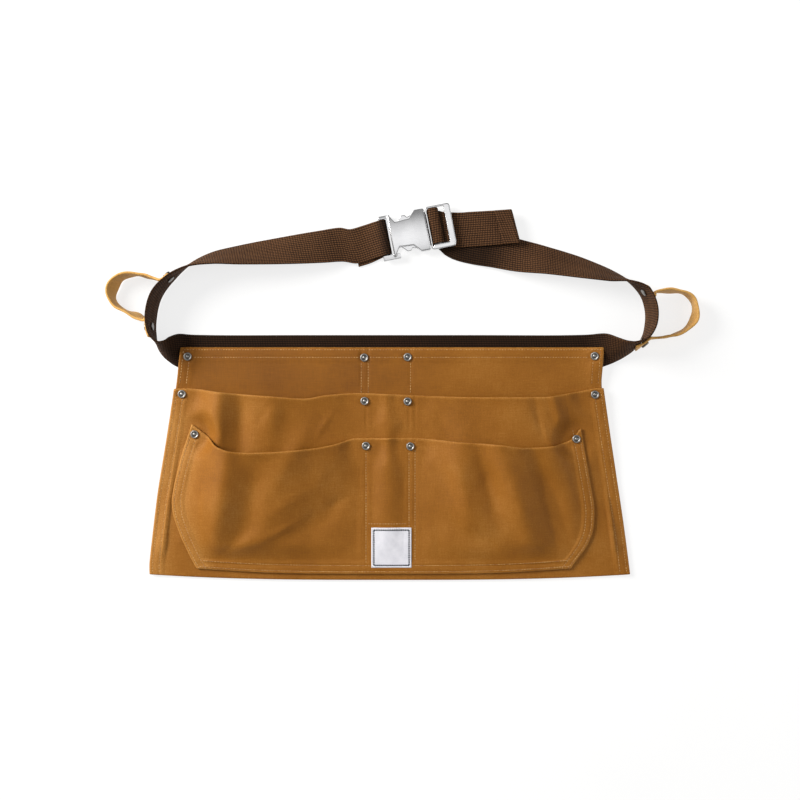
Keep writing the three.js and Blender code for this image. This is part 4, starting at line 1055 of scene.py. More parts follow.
rows = []
for row in LOWER_SIDE_ROWS:
    for side_line, inset in ((lower_left, row), (lower_right, -row)):
        line = down_side(side_line, inset, HEM_Y + 12, HEM_Y + LOWER_HEIGHT - 6)
        rows.append(row_on_cloth(*line, lower_face, clear_of=("lower",)))
for row in LOWER_BOTTOM_ROWS:
    line_y = foot_y + row
    inside = (foot_x > lower_left(line_y) + row + 1) & (foot_x < lower_right(line_y) - row - 1)
    rows.append(row_on_cloth(foot_x[inside], line_y[inside], lower_face))
for seam_x in POCKET_SEAM_ROWS:
    line = straight(seam_x, HEM_Y + 18, seam_x, SEAM_ROWS_TO)
    rows.append(row_on_cloth(*line, lower_face, clear_of=("lower",)))
rows.append(row_on_cloth(*straight(SEAM_LEFT + 2, SLOT_ROW_Y, SEAM_RIGHT - 3, SLOT_ROW_Y), lower_face))
sew("stitching_lower", rows, gold_thread, "duck_canvas")

# %% [markdown]
# ## Label patch
#
# A small woven patch is sewn over the lower end of the slot. It is left bare here. Its cloth is a
# fine satin in a pale lavender white, held by a dark blue running stitch, and its cut edge is
# bound with close white stitches that give it the fine teeth of a postage stamp.

# %% Label patch
LABEL_SIZE = 42.5
LABEL_LOW = HEM_Y + 13.6
LABEL_MIDDLE = SLOT_MIDDLE + 3.5
LABEL_GAP = 0.8
LABEL_THICKNESS = 0.8
LABEL_ROW = 2.2
LABEL_RIB = 0.55
LABEL_STEPS = 44
LABEL_SETTLED = 0.25


def label_finish():
    material, tree, shader = new_finish("label_cloth")
    flat = wire(tree, "ShaderNodeUVMap", uv_map="cloth")
    split = wire(tree, "ShaderNodeSeparateXYZ", {0: flat}).node
    ribs = sums(tree, "SINE", sums(tree, "MULTIPLY", split.outputs[1], 2 * math.pi / (LABEL_RIB * MM)))
    slow = noise(tree, flat, 120, 3)
    fine = noise(tree, flat, 1500, 2)
    tone = sums(tree, "ADD", sums(tree, "MULTIPLY", ribs, 0.06), sums(tree, "MULTIPLY", slow, 0.5))
    tone = sums(tree, "ADD", tone, sums(tree, "MULTIPLY", fine, 0.5))
    colour = ramp(tree, tone, [(0.3, (0.6, 0.6, 0.66)), (0.7, (0.82, 0.81, 0.86))])
    bump = wire(tree, "ShaderNodeBump", {"Strength": 0.4, "Distance": 0.00015, "Height": tone})
    tree.links.new(colour, shader.inputs["Base Color"])
    tree.links.new(bump, shader.inputs["Normal"])
    shader.inputs["Roughness"].default_value = 0.5
    shader.inputs["Sheen Weight"].default_value = 0.3
    return material


def label_under(x, y):
    return lower_top(x, y) + LABEL_GAP - LABEL_SETTLED


def label_face(x, y):
    half = LABEL_SIZE / 2
    inward = np.minimum(half - np.abs(x - LABEL_MIDDLE), half - np.abs(y - LABEL_LOW - half))
    return label_under(x, y) + LABEL_THICKNESS + row_pull(inward - LABEL_ROW, x + y, 5, 0.2)


steps = np.linspace(0, 1, LABEL_STEPS)
x = LABEL_MIDDLE + (steps[:, None] - 0.5) * LABEL_SIZE + 0 * steps[None, :]
y = LABEL_LOW + steps[None, :] * LABEL_SIZE + 0 * steps[:, None]
label_piece = cloth_sheet("woven_label", x, y, label_under(x, y), label_face(x, y), label_finish(),
                          np.zeros_like(x), "label_patch")

# %% [markdown]
# ## Thread round the label
#
# The running stitch is thicker than the panel's thread and dark blue. The binding is the same bead
# of thread, laid across the edge instead of along it and sunk a little, row by row.

# %% Stitches round the label
navy_thread = thread_finish("navy_thread", (0.002, 0.003, 0.008), (0.006, 0.01, 0.022), sheen=0.0)
white_thread = thread_finish("white_thread", (0.6, 0.6, 0.66), (0.88, 0.88, 0.92))
RUNNING_PITCH = 2.4
BINDING_PITCH = 1.9
BINDING_LENGTH = 1.9
BINDING_INSET = 0.6
BINDING_SUNK = 0.35


def square_round(inset):
    low_x, high_x = LABEL_MIDDLE - LABEL_SIZE / 2 + inset, LABEL_MIDDLE + LABEL_SIZE / 2 - inset
    low_y, high_y = LABEL_LOW + inset, LABEL_LOW + LABEL_SIZE - inset
    return [
        straight(low_x, low_y, high_x, low_y), straight(high_x, low_y, high_x, high_y),
        straight(high_x, high_y, low_x, high_y), straight(low_x, high_y, low_x, low_y),
    ]


rows = [row_on_cloth(*line, label_face, pitch=RUNNING_PITCH) for line in square_round(LABEL_ROW)]
sew("label_stitching", rows, navy_thread, "label_cloth", length=2.2, radius=0.75, lift=0.5)
rows = []
for line in square_round(BINDING_INSET):
    centres, along, normals = row_on_cloth(*line, label_face, pitch=BINDING_PITCH)
    rows.append((centres - normals * BINDING_SUNK, np.cross(normals, along), normals))
sew("label_binding", rows, white_thread, "label_cloth", length=BINDING_LENGTH, radius=0.6, lift=0.3)

# %% [markdown]
# ## The strap as one curve
#
# The belt is a single strap: round the socket's bar, along the back of the waist, across the
# front behind the apron, up the other side, over the clip's bar and out as a loose tail. Each
# station holds the middle of the strap and the direction of its upper edge. A centripetal
# Catmull-Rom curve joins them, because it neither loops nor overshoots where stations crowd.


# %% Curves through stations
def through(points, rows):
    points = np.asarray(points, float)
    padded = np.vstack([2 * points[0] - points[1], points, 2 * points[-1] - points[-2]])
    rows = np.clip(np.asarray(rows, float), 0, len(points) - 1)
    index = np.minimum(np.floor(rows).astype(int), len(points) - 2)
    part = (rows - index)[:, None]
    p0, p1, p2, p3 = (padded[index + offset] for offset in range(4))
    gap_before = np.sqrt(np.linalg.norm(p1 - p0, axis=1))[:, None]
    gap = np.sqrt(np.linalg.norm(p2 - p1, axis=1))[:, None]
    gap_after = np.sqrt(np.linalg.norm(p3 - p2, axis=1))[:, None]
    gap = np.where(gap < 1e-4, 1.0, gap)
    gap_before = np.where(gap_before < 1e-4, gap, gap_before)
    gap_after = np.where(gap_after < 1e-4, gap, gap_after)
    leave = (p1 - p0) / gap_before - (p2 - p0) / (gap_before + gap) + (p2 - p1) / gap
    arrive = (p2 - p1) / gap - (p3 - p1) / (gap + gap_after) + (p3 - p2) / gap_after
    leave, arrive = leave * gap, arrive * gap
    square = -3 * p1 + 3 * p2 - 2 * leave - arrive
    cube = 2 * p1 - 2 * p2 + leave + arrive
    return p1 + leave * part + square * part**2 + cube * part**3


def unit(vectors):
    return vectors / np.maximum(1e-9, np.linalg.norm(vectors, axis=-1, keepdims=True))


CURVE_PROBE = 1e-3


def strap_frame(stations, rows):
    centres = np.array([item[0] for item in stations])
    sides = np.array([item[1] for item in stations])
    centre = through(centres, rows)
    side = unit(through(sides, rows))
    ahead = through(centres, np.asarray(rows) + CURVE_PROBE)
    tangent = unit(ahead - through(centres, np.asarray(rows) - CURVE_PROBE))
    return centre, side, tangent, unit(np.cross(tangent, side))


# %% [markdown]
# ## Stations at the buckle
#
# The buckle lies a little turned on the table, so its own frame runs along it, across it and
# up. The strap's two ends are given in that frame: the fixed end wraps the socket's bar and is
# sewn back on itself, and the free end climbs through the clip's window.

# %% Buckle frame and strap ends
BELT_WIDTH = 38
BELT_FLOOR_GAP = 0.6
WAIST_HALF_SPAN = 277
WAIST_DEPTH = 132
BUCKLE_TURN = math.radians(11)
BUCKLE_X = 32
BUCKLE_Y = BELT_Y + WAIST_DEPTH
ALONG_BUCKLE = np.array([math.cos(BUCKLE_TURN), math.sin(BUCKLE_TURN), 0])
ACROSS_BUCKLE = np.array([-math.sin(BUCKLE_TURN), math.cos(BUCKLE_TURN), 0])
SOCKET_RIGHT = 7.5
SOCKET_LEFT = SOCKET_RIGHT - 40.5
FIXED_BAR = SOCKET_LEFT - 6.2
FIXED_BAR_RADIUS = 2.2
FIXED_BAR_UP = BELT_THICKNESS + FIXED_BAR_RADIUS + 1.6
WRAP_RADIUS = BELT_THICKNESS / 2 + 0.3
LOW_LAYER = BELT_THICKNESS / 2 + SEAT_GAP / 2
HIGH_LAYER = LOW_LAYER + BELT_THICKNESS + SEAT_GAP
FRAME_BOTTOM = HIGH_LAYER + BELT_THICKNESS / 2 + SEAT_GAP
BASE_RIGHT = SOCKET_RIGHT + 1.6
MIDDLE_BAR_LEFT = BASE_RIGHT + 3.4
MIDDLE_BAR_RIGHT = MIDDLE_BAR_LEFT + 8
END_BAR_LEFT = MIDDLE_BAR_RIGHT + 8.4
MIDDLE_BAR_TOP = FRAME_BOTTOM + 3
BAR_CORNER = 1.4
CLIP_WIDTH = 47
FOLD_BACK = 34
TAIL_LENGTH = 72
TAIL_RISE = 6
TAIL_DRIFT = -8
TAIL_SETTLE = -5.5
TAIL_SHARES = (0, 0.16, 0.34, 0.56, 0.78, 0.94)
TIP_SHARE = 0.985
TIP_DEGREES = (-60, 0, 60)
TIP_GAP = 0.15
TIP_FOLD = 0.25
TIP_FOLD_PARTS = (0.35, 1)


def at_buckle(along, across, up):
    return np.array([BUCKLE_X, BUCKLE_Y, up]) + ALONG_BUCKLE * along + ACROSS_BUCKLE * across


def turned(vector, degrees):
    angle = math.radians(degrees)
    x, y, z = vector
    turned_x = x * math.cos(angle) - y * math.sin(angle)
    turned_y = x * math.sin(angle) + y * math.cos(angle)
    return np.array([turned_x, turned_y, z])


def wrap(along, up, radius, from_angle, to_angle, steps, across):
    made = []
    for angle in np.radians(np.linspace(from_angle, to_angle, steps + 1)):
        place = at_buckle(along + radius * math.cos(angle), across, up + radius * math.sin(angle))
        made.append((place, -ACROSS_BUCKLE))
    return made


def fixed_end():
    start = FIXED_BAR - FOLD_BACK
    span = FIXED_BAR - start
    under = [(start, -6.5), (start + 0.4 * span, -5), (start + 0.76 * span, -2)]
    over = [
        (start + 0.72 * span, -0.4, 2.2), (start + 0.42 * span, -1.4, 0), (start - 0.05 * span, -2.6, 0),
    ]
    made = [(at_buckle(along, across, LOW_LAYER), -ACROSS_BUCKLE) for along, across in under]
    made += wrap(FIXED_BAR, FIXED_BAR_UP, FIXED_BAR_RADIUS + WRAP_RADIUS, -80, 100, 6, 0)
    made += [(at_buckle(along, across, HIGH_LAYER + up), -ACROSS_BUCKLE) for along, across, up in over]
    return made


# %% [markdown]
# ## Stations round the waist
#
# The lower edge of the strap was traced on the table, anticlockwise from the socket. The roll is
# 0 where the strap lies flat and 90 where it stands on its edge, which it does at both turns.
# Its headings are settled in a few passes, so the strap always stands square to its own line.

# %% Round the waist
# across, along, roll in degrees, lift
WAIST = [
    (-0.2, 1.028, 6, 0), (-0.279, 1.003, 17, 0), (-0.436, 0.945, 35, 0), (-0.593, 0.88, 52, 0),
    (-0.704, 0.82, 66, 0), (-0.787, 0.728, 80, 0), (-0.85, 0.6, 92, 0), (-0.898, 0.462, 97, 0),
    (-0.919, 0.303, 97, 0), (-0.922, 0.159, 92, 0), (-0.913, 0.05, 80, 0), (-0.893, -0.025, 64, 0.2),
    (-0.866, -0.08, 46, 0.6), (-0.836, -0.118, 21, 0.9), (-0.8, -0.138, 3, 1), (-0.7, -0.144, 0, 1),
    (-0.35, -0.144, 0, 1), (0, -0.144, 0, 1), (0.35, -0.144, 0, 1), (0.7, -0.144, 0, 1),
    (0.8, -0.136, 4, 1), (0.842, -0.108, 26, 0.9), (0.88, -0.074, 50, 0.6), (0.918, -0.028, 66, 0.2),
    (0.953, 0.03, 79, 0), (0.984, 0.12, 91, 0), (0.997, 0.235, 98, 0), (0.996, 0.36, 99, 0),
    (0.974, 0.485, 97, 0), (0.926, 0.595, 83, 0), (0.855, 0.685, 65, 0), (0.742, 0.785, 48, 0),
    (0.62, 0.866, 34, 0), (0.51, 0.93, 16, 0), (0.43, 0.976, 4, 0),
]


SETTLING_PASSES = 6


def waist_stations():
    edges = np.array([(row[0] * WAIST_HALF_SPAN, BELT_Y + row[1] * WAIST_DEPTH, 0) for row in WAIST])
    centres = edges
    for _ in range(SETTLING_PASSES):
        made = []
        for index, (_, _, roll_degrees, lift) in enumerate(WAIST):
            before, after = centres[max(0, index - 1)], centres[min(len(WAIST) - 1, index + 1)]
            heading = after - before
            roll = math.radians(roll_degrees)
            flat = np.array([-heading[1], heading[0], 0])
            side = flat / np.linalg.norm(flat) * math.cos(roll)
            side[2] = math.sin(roll)
            edge = edges[index].copy()
            rest = BELT_FLOOR_GAP + BELT_THICKNESS / 2 * abs(math.cos(roll))
            edge[2] = rest + (BELT_CLEARANCE + BELT_THICKNESS / 2 - rest) * lift
            made.append((edge + side * BELT_WIDTH / 2, side / np.linalg.norm(side)))
        centres = np.array([item[0] for item in made])
    return made


def free_end():
    side = -ACROSS_BUCKLE
    corner = WRAP_RADIUS + BAR_CORNER
    climb, drop = MIDDLE_BAR_LEFT + BAR_CORNER, MIDDLE_BAR_RIGHT - BAR_CORNER
    run_rows = [(1.2, -0.62, 24, 0.6), (0.77, -0.42, 18, 0.3), (0.54, -0.26, 12, 0), (0.4, -0.13, 5, 0)]
    made = []
    for along, across, swing, rise in run_rows:
        place = at_buckle(along * CLIP_WIDTH, across * CLIP_WIDTH, LOW_LAYER + rise)
        made.append((place, turned(side, -swing)))
    made += wrap(climb, LOW_LAYER + corner, corner, 250, 180, 3, -1.6)
    made += wrap(climb, MIDDLE_BAR_TOP - BAR_CORNER, corner, 170, 90, 3, 2)
    made += wrap(drop, MIDDLE_BAR_TOP - BAR_CORNER, corner, 90, 0, 3, 2.2)
    turn = drop + 2 * corner
    made += wrap(turn, HIGH_LAYER + corner, corner, 192, 262, 3, -1.5)
    return made + tail_end(max(turn + 5, END_BAR_LEFT))


def tail_end(start):
    side = turned(-ACROSS_BUCKLE, TAIL_DRIFT)
    bend = BELT_THICKNESS / 2 + TIP_GAP
    slant = math.tan(math.radians(TAIL_DRIFT))

    def place(share, up):
        run = share * TAIL_LENGTH
        settle = TAIL_SETTLE * float(ease(share, -0.2, 0.12))
        return at_buckle(start + run, settle + run * slant, up)

    made = []
    for share in TAIL_SHARES:
        edge_way = side if share else -ACROSS_BUCKLE
        made.append((place(share, HIGH_LAYER + TAIL_RISE * share**2), edge_way))
    tip = HIGH_LAYER + TAIL_RISE
    for degrees in TIP_DEGREES:
        angle = math.radians(degrees)
        share = TIP_SHARE + bend * math.cos(angle) / TAIL_LENGTH
        made.append((place(share, tip + bend + bend * math.sin(angle)), side))
    for part in TIP_FOLD_PARTS:
        share = 1 - TIP_FOLD * part
        made.append((place(share, tip + 2 * bend - TAIL_RISE * (1 - share**2)), side))
    return made


fixed_stations = fixed_end()
belt_stations = fixed_stations + waist_stations() + free_end()
WAIST_START = len(fixed_stations)
TAIL_START = len(belt_stations) - len(TAIL_SHARES) - len(TIP_DEGREES) - len(TIP_FOLD_PARTS)
print("stations on the belt:", len(belt_stations))

# %% [markdown]
# ## Webbing
#
# Cotton webbing has rows of thick beads where the weft passes over the warp, about sixteen rows
# across this belt. The rows follow the strap round every turn, so they are drawn from the
# strap's own coordinates: length along it and distance across it. A shade mark in the mesh darkens
# the strap where little light reaches its threads.


# %% Webbing finish
WEBBING_ROW = 2.4
WEBBING_BEAD = 2.7


def webbing_finish(name, dark, light):
    material, tree, shader = new_finish(name)
    flat = wire(tree, "ShaderNodeUVMap", uv_map="cloth")
    wander = noise(tree, flat, 160, 2)
    split = wire(tree, "ShaderNodeSeparateXYZ", {0: flat}).node
    shift = sums(tree, "MULTIPLY", sums(tree, "SUBTRACT", wander, 0.5), 0.9)
    across = sums(tree, "MULTIPLY", split.outputs[1], 1 / (WEBBING_ROW * MM))
    row = sums(tree, "ABSOLUTE", sums(tree, "SINE", sums(tree, "MULTIPLY", across, math.pi)))
    stagger = sums(tree, "MULTIPLY", sums(tree, "FLOOR", across), 0.12)
    along = sums(tree, "ADD", sums(tree, "MULTIPLY", split.outputs[0], 1 / (WEBBING_BEAD * MM)), stagger)
    along = sums(tree, "ADD", along, shift)
    bead = sums(tree, "ABSOLUTE", sums(tree, "SINE", sums(tree, "MULTIPLY", along, math.pi)))
    beaded = sums(tree, "ADD", sums(tree, "MULTIPLY", bead, 0.6), 0.4)
    height = sums(tree, "MULTIPLY", sums(tree, "POWER", row, 0.7), beaded)
    fibre = noise(tree, flat, 1800, 3, 0.7)
    slow = noise(tree, flat, 22, 3)
    tone = sums(tree, "ADD", sums(tree, "MULTIPLY", height, 0.75), sums(tree, "MULTIPLY", fibre, 0.3))
    tone = sums(tree, "ADD", tone, sums(tree, "MULTIPLY", sums(tree, "SUBTRACT", slow, 0.5), 0.25))
    colour = ramp(tree, tone, [(0.3, dark), (0.95, light)])
    shade = wire(tree, "ShaderNodeAttribute", out=2, attribute_name="shade")
    colour = mixed(tree, sums(tree, "MULTIPLY", shade, 0.78), colour, tuple(0.3 * part for part in dark))
    relief = sums(tree, "ADD", height, sums(tree, "MULTIPLY", fibre, 0.25))
    bump = wire(tree, "ShaderNodeBump", {"Strength": 0.8, "Distance": 0.0005, "Height": relief})
    tree.links.new(colour, shader.inputs["Base Color"])
    tree.links.new(bump, shader.inputs["Normal"])
    shader.inputs["Roughness"].default_value = 0.8
    shader.inputs["Specular IOR Level"].default_value = 0.1
    return material


webbing = webbing_finish("belt_webbing", (0.007, 0.0032, 0.002), (0.145, 0.066, 0.028))


# %% [markdown]
# ## Straps from rings
#
# A strap is a stack of rings, one for each step along the curve. A ring is a flat rectangle with
# rounded ends, and its points are shared with the next ring. Ribs along the strap are real
# relief here, so its edge is not a ruler line when it is seen from the side.


# %% Ring section and strap mesh
STEPS_PER_STATION = 40


def strap_section(width, thickness, across_steps, ribs):
    half, thick = width / 2 - thickness / 2, thickness / 2
    across = np.linspace(-half, half, across_steps)
    rib = ribs * np.abs(np.sin(math.pi * across / WEBBING_ROW)) - ribs / 2
    top = np.stack([across, thick + rib], axis=-1)
    turn = np.radians([60, 30, 0, -30, -60])
    right = np.stack([half + thick * np.cos(turn), thick * np.sin(turn)], axis=-1)
    bottom = np.stack([across[::-1], -thick - rib[::-1]], axis=-1)
    left = np.stack([-half - thick * np.cos(turn), -thick * np.sin(turn)], axis=-1)
    return np.concatenate([top, right, bottom, left])


def strap_piece(
    name, stations, step, section, material, replaces, lean=None, shade=None, skew=None,
):
    rough = np.linspace(0, len(stations) - 1, STEPS_PER_STATION * len(stations))
    centres = through([item[0] for item in stations], rough)
    walked = np.concatenate([[0], np.cumsum(np.linalg.norm(np.diff(centres, axis=0), axis=1))])
    places = np.linspace(0, walked[-1], round(walked[-1] / step) + 1)
    rows = np.interp(places, walked, rough)
    centre, side, _, normal = strap_frame(stations, rows)
    if lean is not None:
        angle = lean(places / walked[-1])[:, None]
        upright, outwards = side, normal
        side = upright * np.cos(angle) + outwards * np.sin(angle)
        normal = outwards * np.cos(angle) - upright * np.sin(angle)
    points = (centre[:, None, :] + side[:, None, :] * section[None, :, :1]
              + normal[:, None, :] * section[None, :, 1:])
    if skew is not None:
        points = points + skew(rows)[:, None, None] * section[None, :, :1] * ALONG_BUCKLE
    sides = len(section)
    count = len(places)
    number = np.arange(count * sides).reshape(count, sides)
    after = np.roll(number, -1, axis=1)
    faces = np.stack([number[:-1], number[1:], after[1:], after[:-1]], axis=-1).reshape(-1, 4).tolist()
    faces += [number[0].tolist(), number[-1, ::-1].tolist()]
    cloth = np.stack([np.repeat(places, sides), np.tile(section[:, 0], count)], axis=-1)
    marks = {} if shade is None else {"shade": np.repeat(shade(rows), sides)}
    piece = make_piece(name, points.reshape(-1, 3), faces, material, cloth=cloth, marks=marks)
    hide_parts(replaces)
    print(name, "length:", round(float(walked[-1])), "mm")
    return piece, float(walked[-1])


# %% [markdown]
# ## The belt and its shade
#
# Light does not reach the threads behind the apron, at the bars and under the tail. The renderer
# finds most of that by itself; the shade mark adds what the weave's own depth would hide. A shade
# has its darkness, the stations between which it sets in, and those between which it ends. The one
# in the clip's window counts its stations back from the tail.

# %% Make the belt
FRONT_SHADE = (0.95, (9.6, 12.8), (20.2, 22.6))
LEFT_TURN_SHADE = (0.4, (4.6, 6.5), (9.6, 12.8))
BAR_SHADE = (0.9, (2.2, 3.4), (9.0, 10.0))
WINDOW_SHADE = (0.9, (0.2, 1), (4.2, 5.6))
UNDER_TAIL_SHADE = 0.9
UNDER_TAIL_FROM = (32.8, 34.6)
UNDER_TAIL_TO = (12, 15)
TIP_SLANT = 0.2
TIP_SLANT_ROWS = (2, 5.5)
BELT_STEP = 2.2
BELT_RIB = 0.25


def shaded(rows, spell):
    darkness, sets_in, ends = spell
    return darkness * ease(rows, *sets_in) * (1 - ease(rows, *ends))


def belt_shade(rows):
    waist = rows - WAIST_START
    before_tail = TAIL_START - rows
    front = shaded(waist, FRONT_SHADE)
    left_turn = shaded(waist, LEFT_TURN_SHADE)
    at_bar = shaded(rows, BAR_SHADE)
    in_window = shaded(before_tail, WINDOW_SHADE)
    under_tail = UNDER_TAIL_SHADE * ease(waist, *UNDER_TAIL_FROM) * ease(before_tail, *UNDER_TAIL_TO)
    return front + left_turn + at_bar + in_window + under_tail


def tail_skew(rows):
    return TIP_SLANT * ease(rows - TAIL_START, *TIP_SLANT_ROWS)


strap_piece(
    "webbing_belt", belt_stations, BELT_STEP, strap_section(BELT_WIDTH, BELT_THICKNESS, 33, BELT_RIB),
    webbing, "waist_belt", shade=belt_shade, skew=tail_skew,
)

# %% [markdown]
# ## Hammer loops
#
# On each side a strip of folded canvas stands on its edge and curves out from the belt, held by
# two rivets. It lies flat on the belt at each rivet, with a short tail past it, and then peels
# off. The strip leans outwards a little at its far side, as stiff folded cloth does when it is bent.

# %% Hammer loops
LOOP_WIDTH = 20
LOOP_THICKNESS = 2.6
LOOP_GAP = 0.7
LOOP_STEP = 1.6
LOOP_RIB = 0.1
CLAMPED_REACH = 4.8
PEELING_REACH = 8
PEEL = 1.4
ROW_PROBE = 0.1
SINKING = 0.7
# name, both ends, then the strip's points on the table from the first rivet to the other; an end
# has its row on the belt, the way its tail points along the rows, and the tail's length
LOOPS = [
    ("left", ((6.05, -1, 2.5), (8.65, 1, 12)), [
        (-252, 260.5), (-263, 263.8), (-277, 266.2), (-292, 262.8), (-300.5, 252),
        (-301.5, 242), (-296.5, 232.8), (-287, 226.8), (-274, 221.5), (-264, 216.5),
    ]),
    ("right", ((24.6, -1, 10), (27.95, 1, 4)), [
        (278, 197), (291, 198), (306, 200.8), (318, 206.8), (326.5, 216.5), (328.6, 228),
        (325.5, 239), (318, 245.6), (306.5, 248), (293, 248.2), (283, 246),
    ]),
]


def outer_face(row):
    centre, side, _, normal = (item[0] for item in strap_frame(belt_stations, [WAIST_START + row]))
    middle = np.array([0, BELT_Y + WAIST_DEPTH / 2, centre[2]])
    return centre, side, normal if normal @ (centre - middle) > 0 else -normal


def loop_stations(ends, route):
    stand_off = (BELT_THICKNESS + LOOP_THICKNESS) / 2 + LOOP_GAP
    heights = []
    for row, _, _ in ends:
        centre, _, outward = outer_face(row)
        heights.append((centre + outward * stand_off)[2])
    start, end = heights
    up = np.array([0, 0, 1.0])
    made = []
    for number, (x, y) in enumerate(route):
        share = (number + 1) / (len(route) + 1)
        sunk = math.sin(math.pi * share) ** SINKING
        level = start + (end - start) * share
        made.append((np.array([x, y, level + (LOOP_WIDTH / 2 + SEAT_GAP - level) * sunk]), up))
    tabs = []
    for row, way, tail in ends:
        before, after = outer_face(row - ROW_PROBE)[0], outer_face(row + ROW_PROBE)[0]
        pitch = np.linalg.norm(after - before) / (2 * ROW_PROBE)
        reaches = [(tail, 0), (tail / 2, 0), (0, 0), (-CLAMPED_REACH, 0), (-PEELING_REACH, PEEL)]
        tab = []
        for reach, peel in reaches:
            centre, side, outward = outer_face(row + way * reach / pitch)
            tab.append((centre + outward * (stand_off + peel), side))
        tabs.append(tab)
    return tabs[0] + made + tabs[1][::-1]


LOOP_LEANS = {"left": 0.24, "right": 0.1}


def loop_lean(share, lean):
    standing = ease(share, 0.12, 0.3) * (1 - ease(share, 0.72, 0.9))
    return standing * (lean + 0.8 * lean * np.sin(17 * share) + 0.06 * np.sin(41 * share + 1))


for name, ends, route in LOOPS:
    stations = loop_stations(ends, route)
    loop_piece, loop_length = strap_piece(
        f"canvas_loop_{name}", stations, LOOP_STEP,
        strap_section(LOOP_WIDTH, LOOP_THICKNESS, 13, LOOP_RIB),
        lit_loop_canvas, f"hammer_loop_{name}",
        lean=partial(loop_lean, lean=LOOP_LEANS[name]),
    )

# %% [markdown]
# ## Rivets
#
# The rivets are pressed from thin metal: a raised ring with a shallow dish and a small dome in
# its middle. A profile turned round an axis makes one. The dish is darker, because polish and
# wear only reach the ring and the dome.


# %% Rivet finish
def rivet_finish():
    material, tree, shader = new_finish("rivet_pewter")
    place = wire(tree, "ShaderNodeTexCoord", out=3)
    dished = wire(tree, "ShaderNodeAttribute", out=2, attribute_name="dish")
    grain = noise(tree, place, 900, 3)
    tone = sums(tree, "ADD", sums(tree, "MULTIPLY", grain, 0.4), sums(tree, "MULTIPLY", dished, 0.6))
    colour = ramp(tree, tone, [(0.1, (0.37, 0.355, 0.335)), (0.8, (0.11, 0.105, 0.098))])
    rough = sums(tree, "ADD", sums(tree, "MULTIPLY", grain, 0.25), 0.32)
    tree.links.new(colour, shader.inputs["Base Color"])
    tree.links.new(rough, shader.inputs["Roughness"])
    shader.inputs["Metallic"].default_value = 1
    return material


pewter = rivet_finish()
# radius as a share of the cap's radius, height over its seat in mm, darkness of the dish
CAP_PROFILE = [
    (0.0, 1.55, 0.1), (0.14, 1.52, 0.1), (0.26, 1.36, 0.2), (0.34, 1.08, 0.8), (0.42, 0.86, 1.0),
    (0.52, 0.8, 1.0), (0.6, 0.92, 0.8), (0.68, 1.22, 0.25), (0.76, 1.44, 0.0), (0.86, 1.46, 0.0),
    (0.94, 1.22, 0.1), (0.99, 0.8, 0.3), (1.0, 0.3, 0.6), (0.97, -0.5, 1.0),
]
CAP_SIDES = 32
CAP_HEIGHT = 1.5
CAP_UNDER = -0.5
PIN_SHARE = 0.02
SHANK_RADIUS = 1.5
BURR_RADIUS = 4.0
BURR_THICKNESS = 0.7


def turned_piece(profile, sides):
    rings = []
    marks = []
    for radius, up, dark in profile:
        for turn in range(sides):
            angle = 2 * math.pi * turn / sides
            rings.append((radius * math.cos(angle), radius * math.sin(angle), up))
            marks.append(dark)
    faces = []
    for ring in range(len(profile) - 1):
        for turn in range(sides):
            after = (turn + 1) % sides
            low = ring * sides
            faces.append([low + turn, low + sides + turn, low + sides + after, low + after])
    last = (len(profile) - 1) * sides
    faces.append(list(range(sides)))
    faces.append(list(range(last + sides - 1, last - 1, -1)))
    return np.array(rings), faces, marks


def rivet_piece(name, seat, axis, reach_down):
    profile = [(max(radius, PIN_SHARE) * RIVET_RADIUS, up, dark) for radius, up, dark in CAP_PROFILE]
    profile += [
        (SHANK_RADIUS, CAP_UNDER, 1.0), (SHANK_RADIUS, -reach_down, 1.0),
        (BURR_RADIUS, -reach_down, 0.5), (BURR_RADIUS, -reach_down - BURR_THICKNESS, 0.3),
    ]
    points, faces, marks = turned_piece(profile, CAP_SIDES)
    axis = unit(np.asarray(axis, float))
    first = unit(np.cross(axis, [0.3, 1.0, 0.2]))
    second = np.cross(axis, first)
    placed = seat + points[:, :1] * first + points[:, 1:2] * second + points[:, 2:] * axis
    piece = make_piece(f"turned_{name}", placed, faces, pewter, marks={"dish": marks})
    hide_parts(name)


# %% [markdown]
# ## Rivets in their places
#
# A panel's rivet stands over the frame's own, and the outer ones of the top row rise and tilt with
# the lifted corners. A loop's rivet stands square to the strap, so it is placed from the strap.

# %% Set the rivets
CAP_PROUD = 0.25
SHANK_SHORT = 0.55

for name, rivet_x, rivet_y, _ in RIVETS:
    low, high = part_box(name)
    lifted = corner_lift(rivet_x, rivet_y)
    slope_x = corner_lift(rivet_x + 1, rivet_y) - lifted
    slope_y = corner_lift(rivet_x, rivet_y + 1) - lifted
    seat = askew([(rivet_x, rivet_y, high[2] / MM - CAP_HEIGHT + CAP_PROUD + lifted)])[0]
    reach_down = high[2] / MM - low[2] / MM - CAP_HEIGHT - SHANK_SHORT
    rivet_piece(name, seat, (-slope_x, -slope_y, 1), reach_down)

under_loop = BELT_THICKNESS / 2 + LOOP_GAP
over_loop = under_loop + LOOP_THICKNESS + LOOP_GAP
for name, ends, _ in LOOPS:
    for (row, _, _), end_name in zip(ends, ("back", "front")):
        centre, _, outward = outer_face(row)
        rivet_name = f"rivet_hammer_loop_{name}_{end_name}"
        rivet_piece(rivet_name, centre + outward * over_loop, outward, over_loop + under_loop)

# %% [markdown]
# ## Buckle metal
#
# The buckle is cast zinc, plated and brushed to a satin shine. Metal shows what stands round
# it, so the finish is only a bright base, a soft roughness that changes a little over the
# surface, and fine brushing along its length.


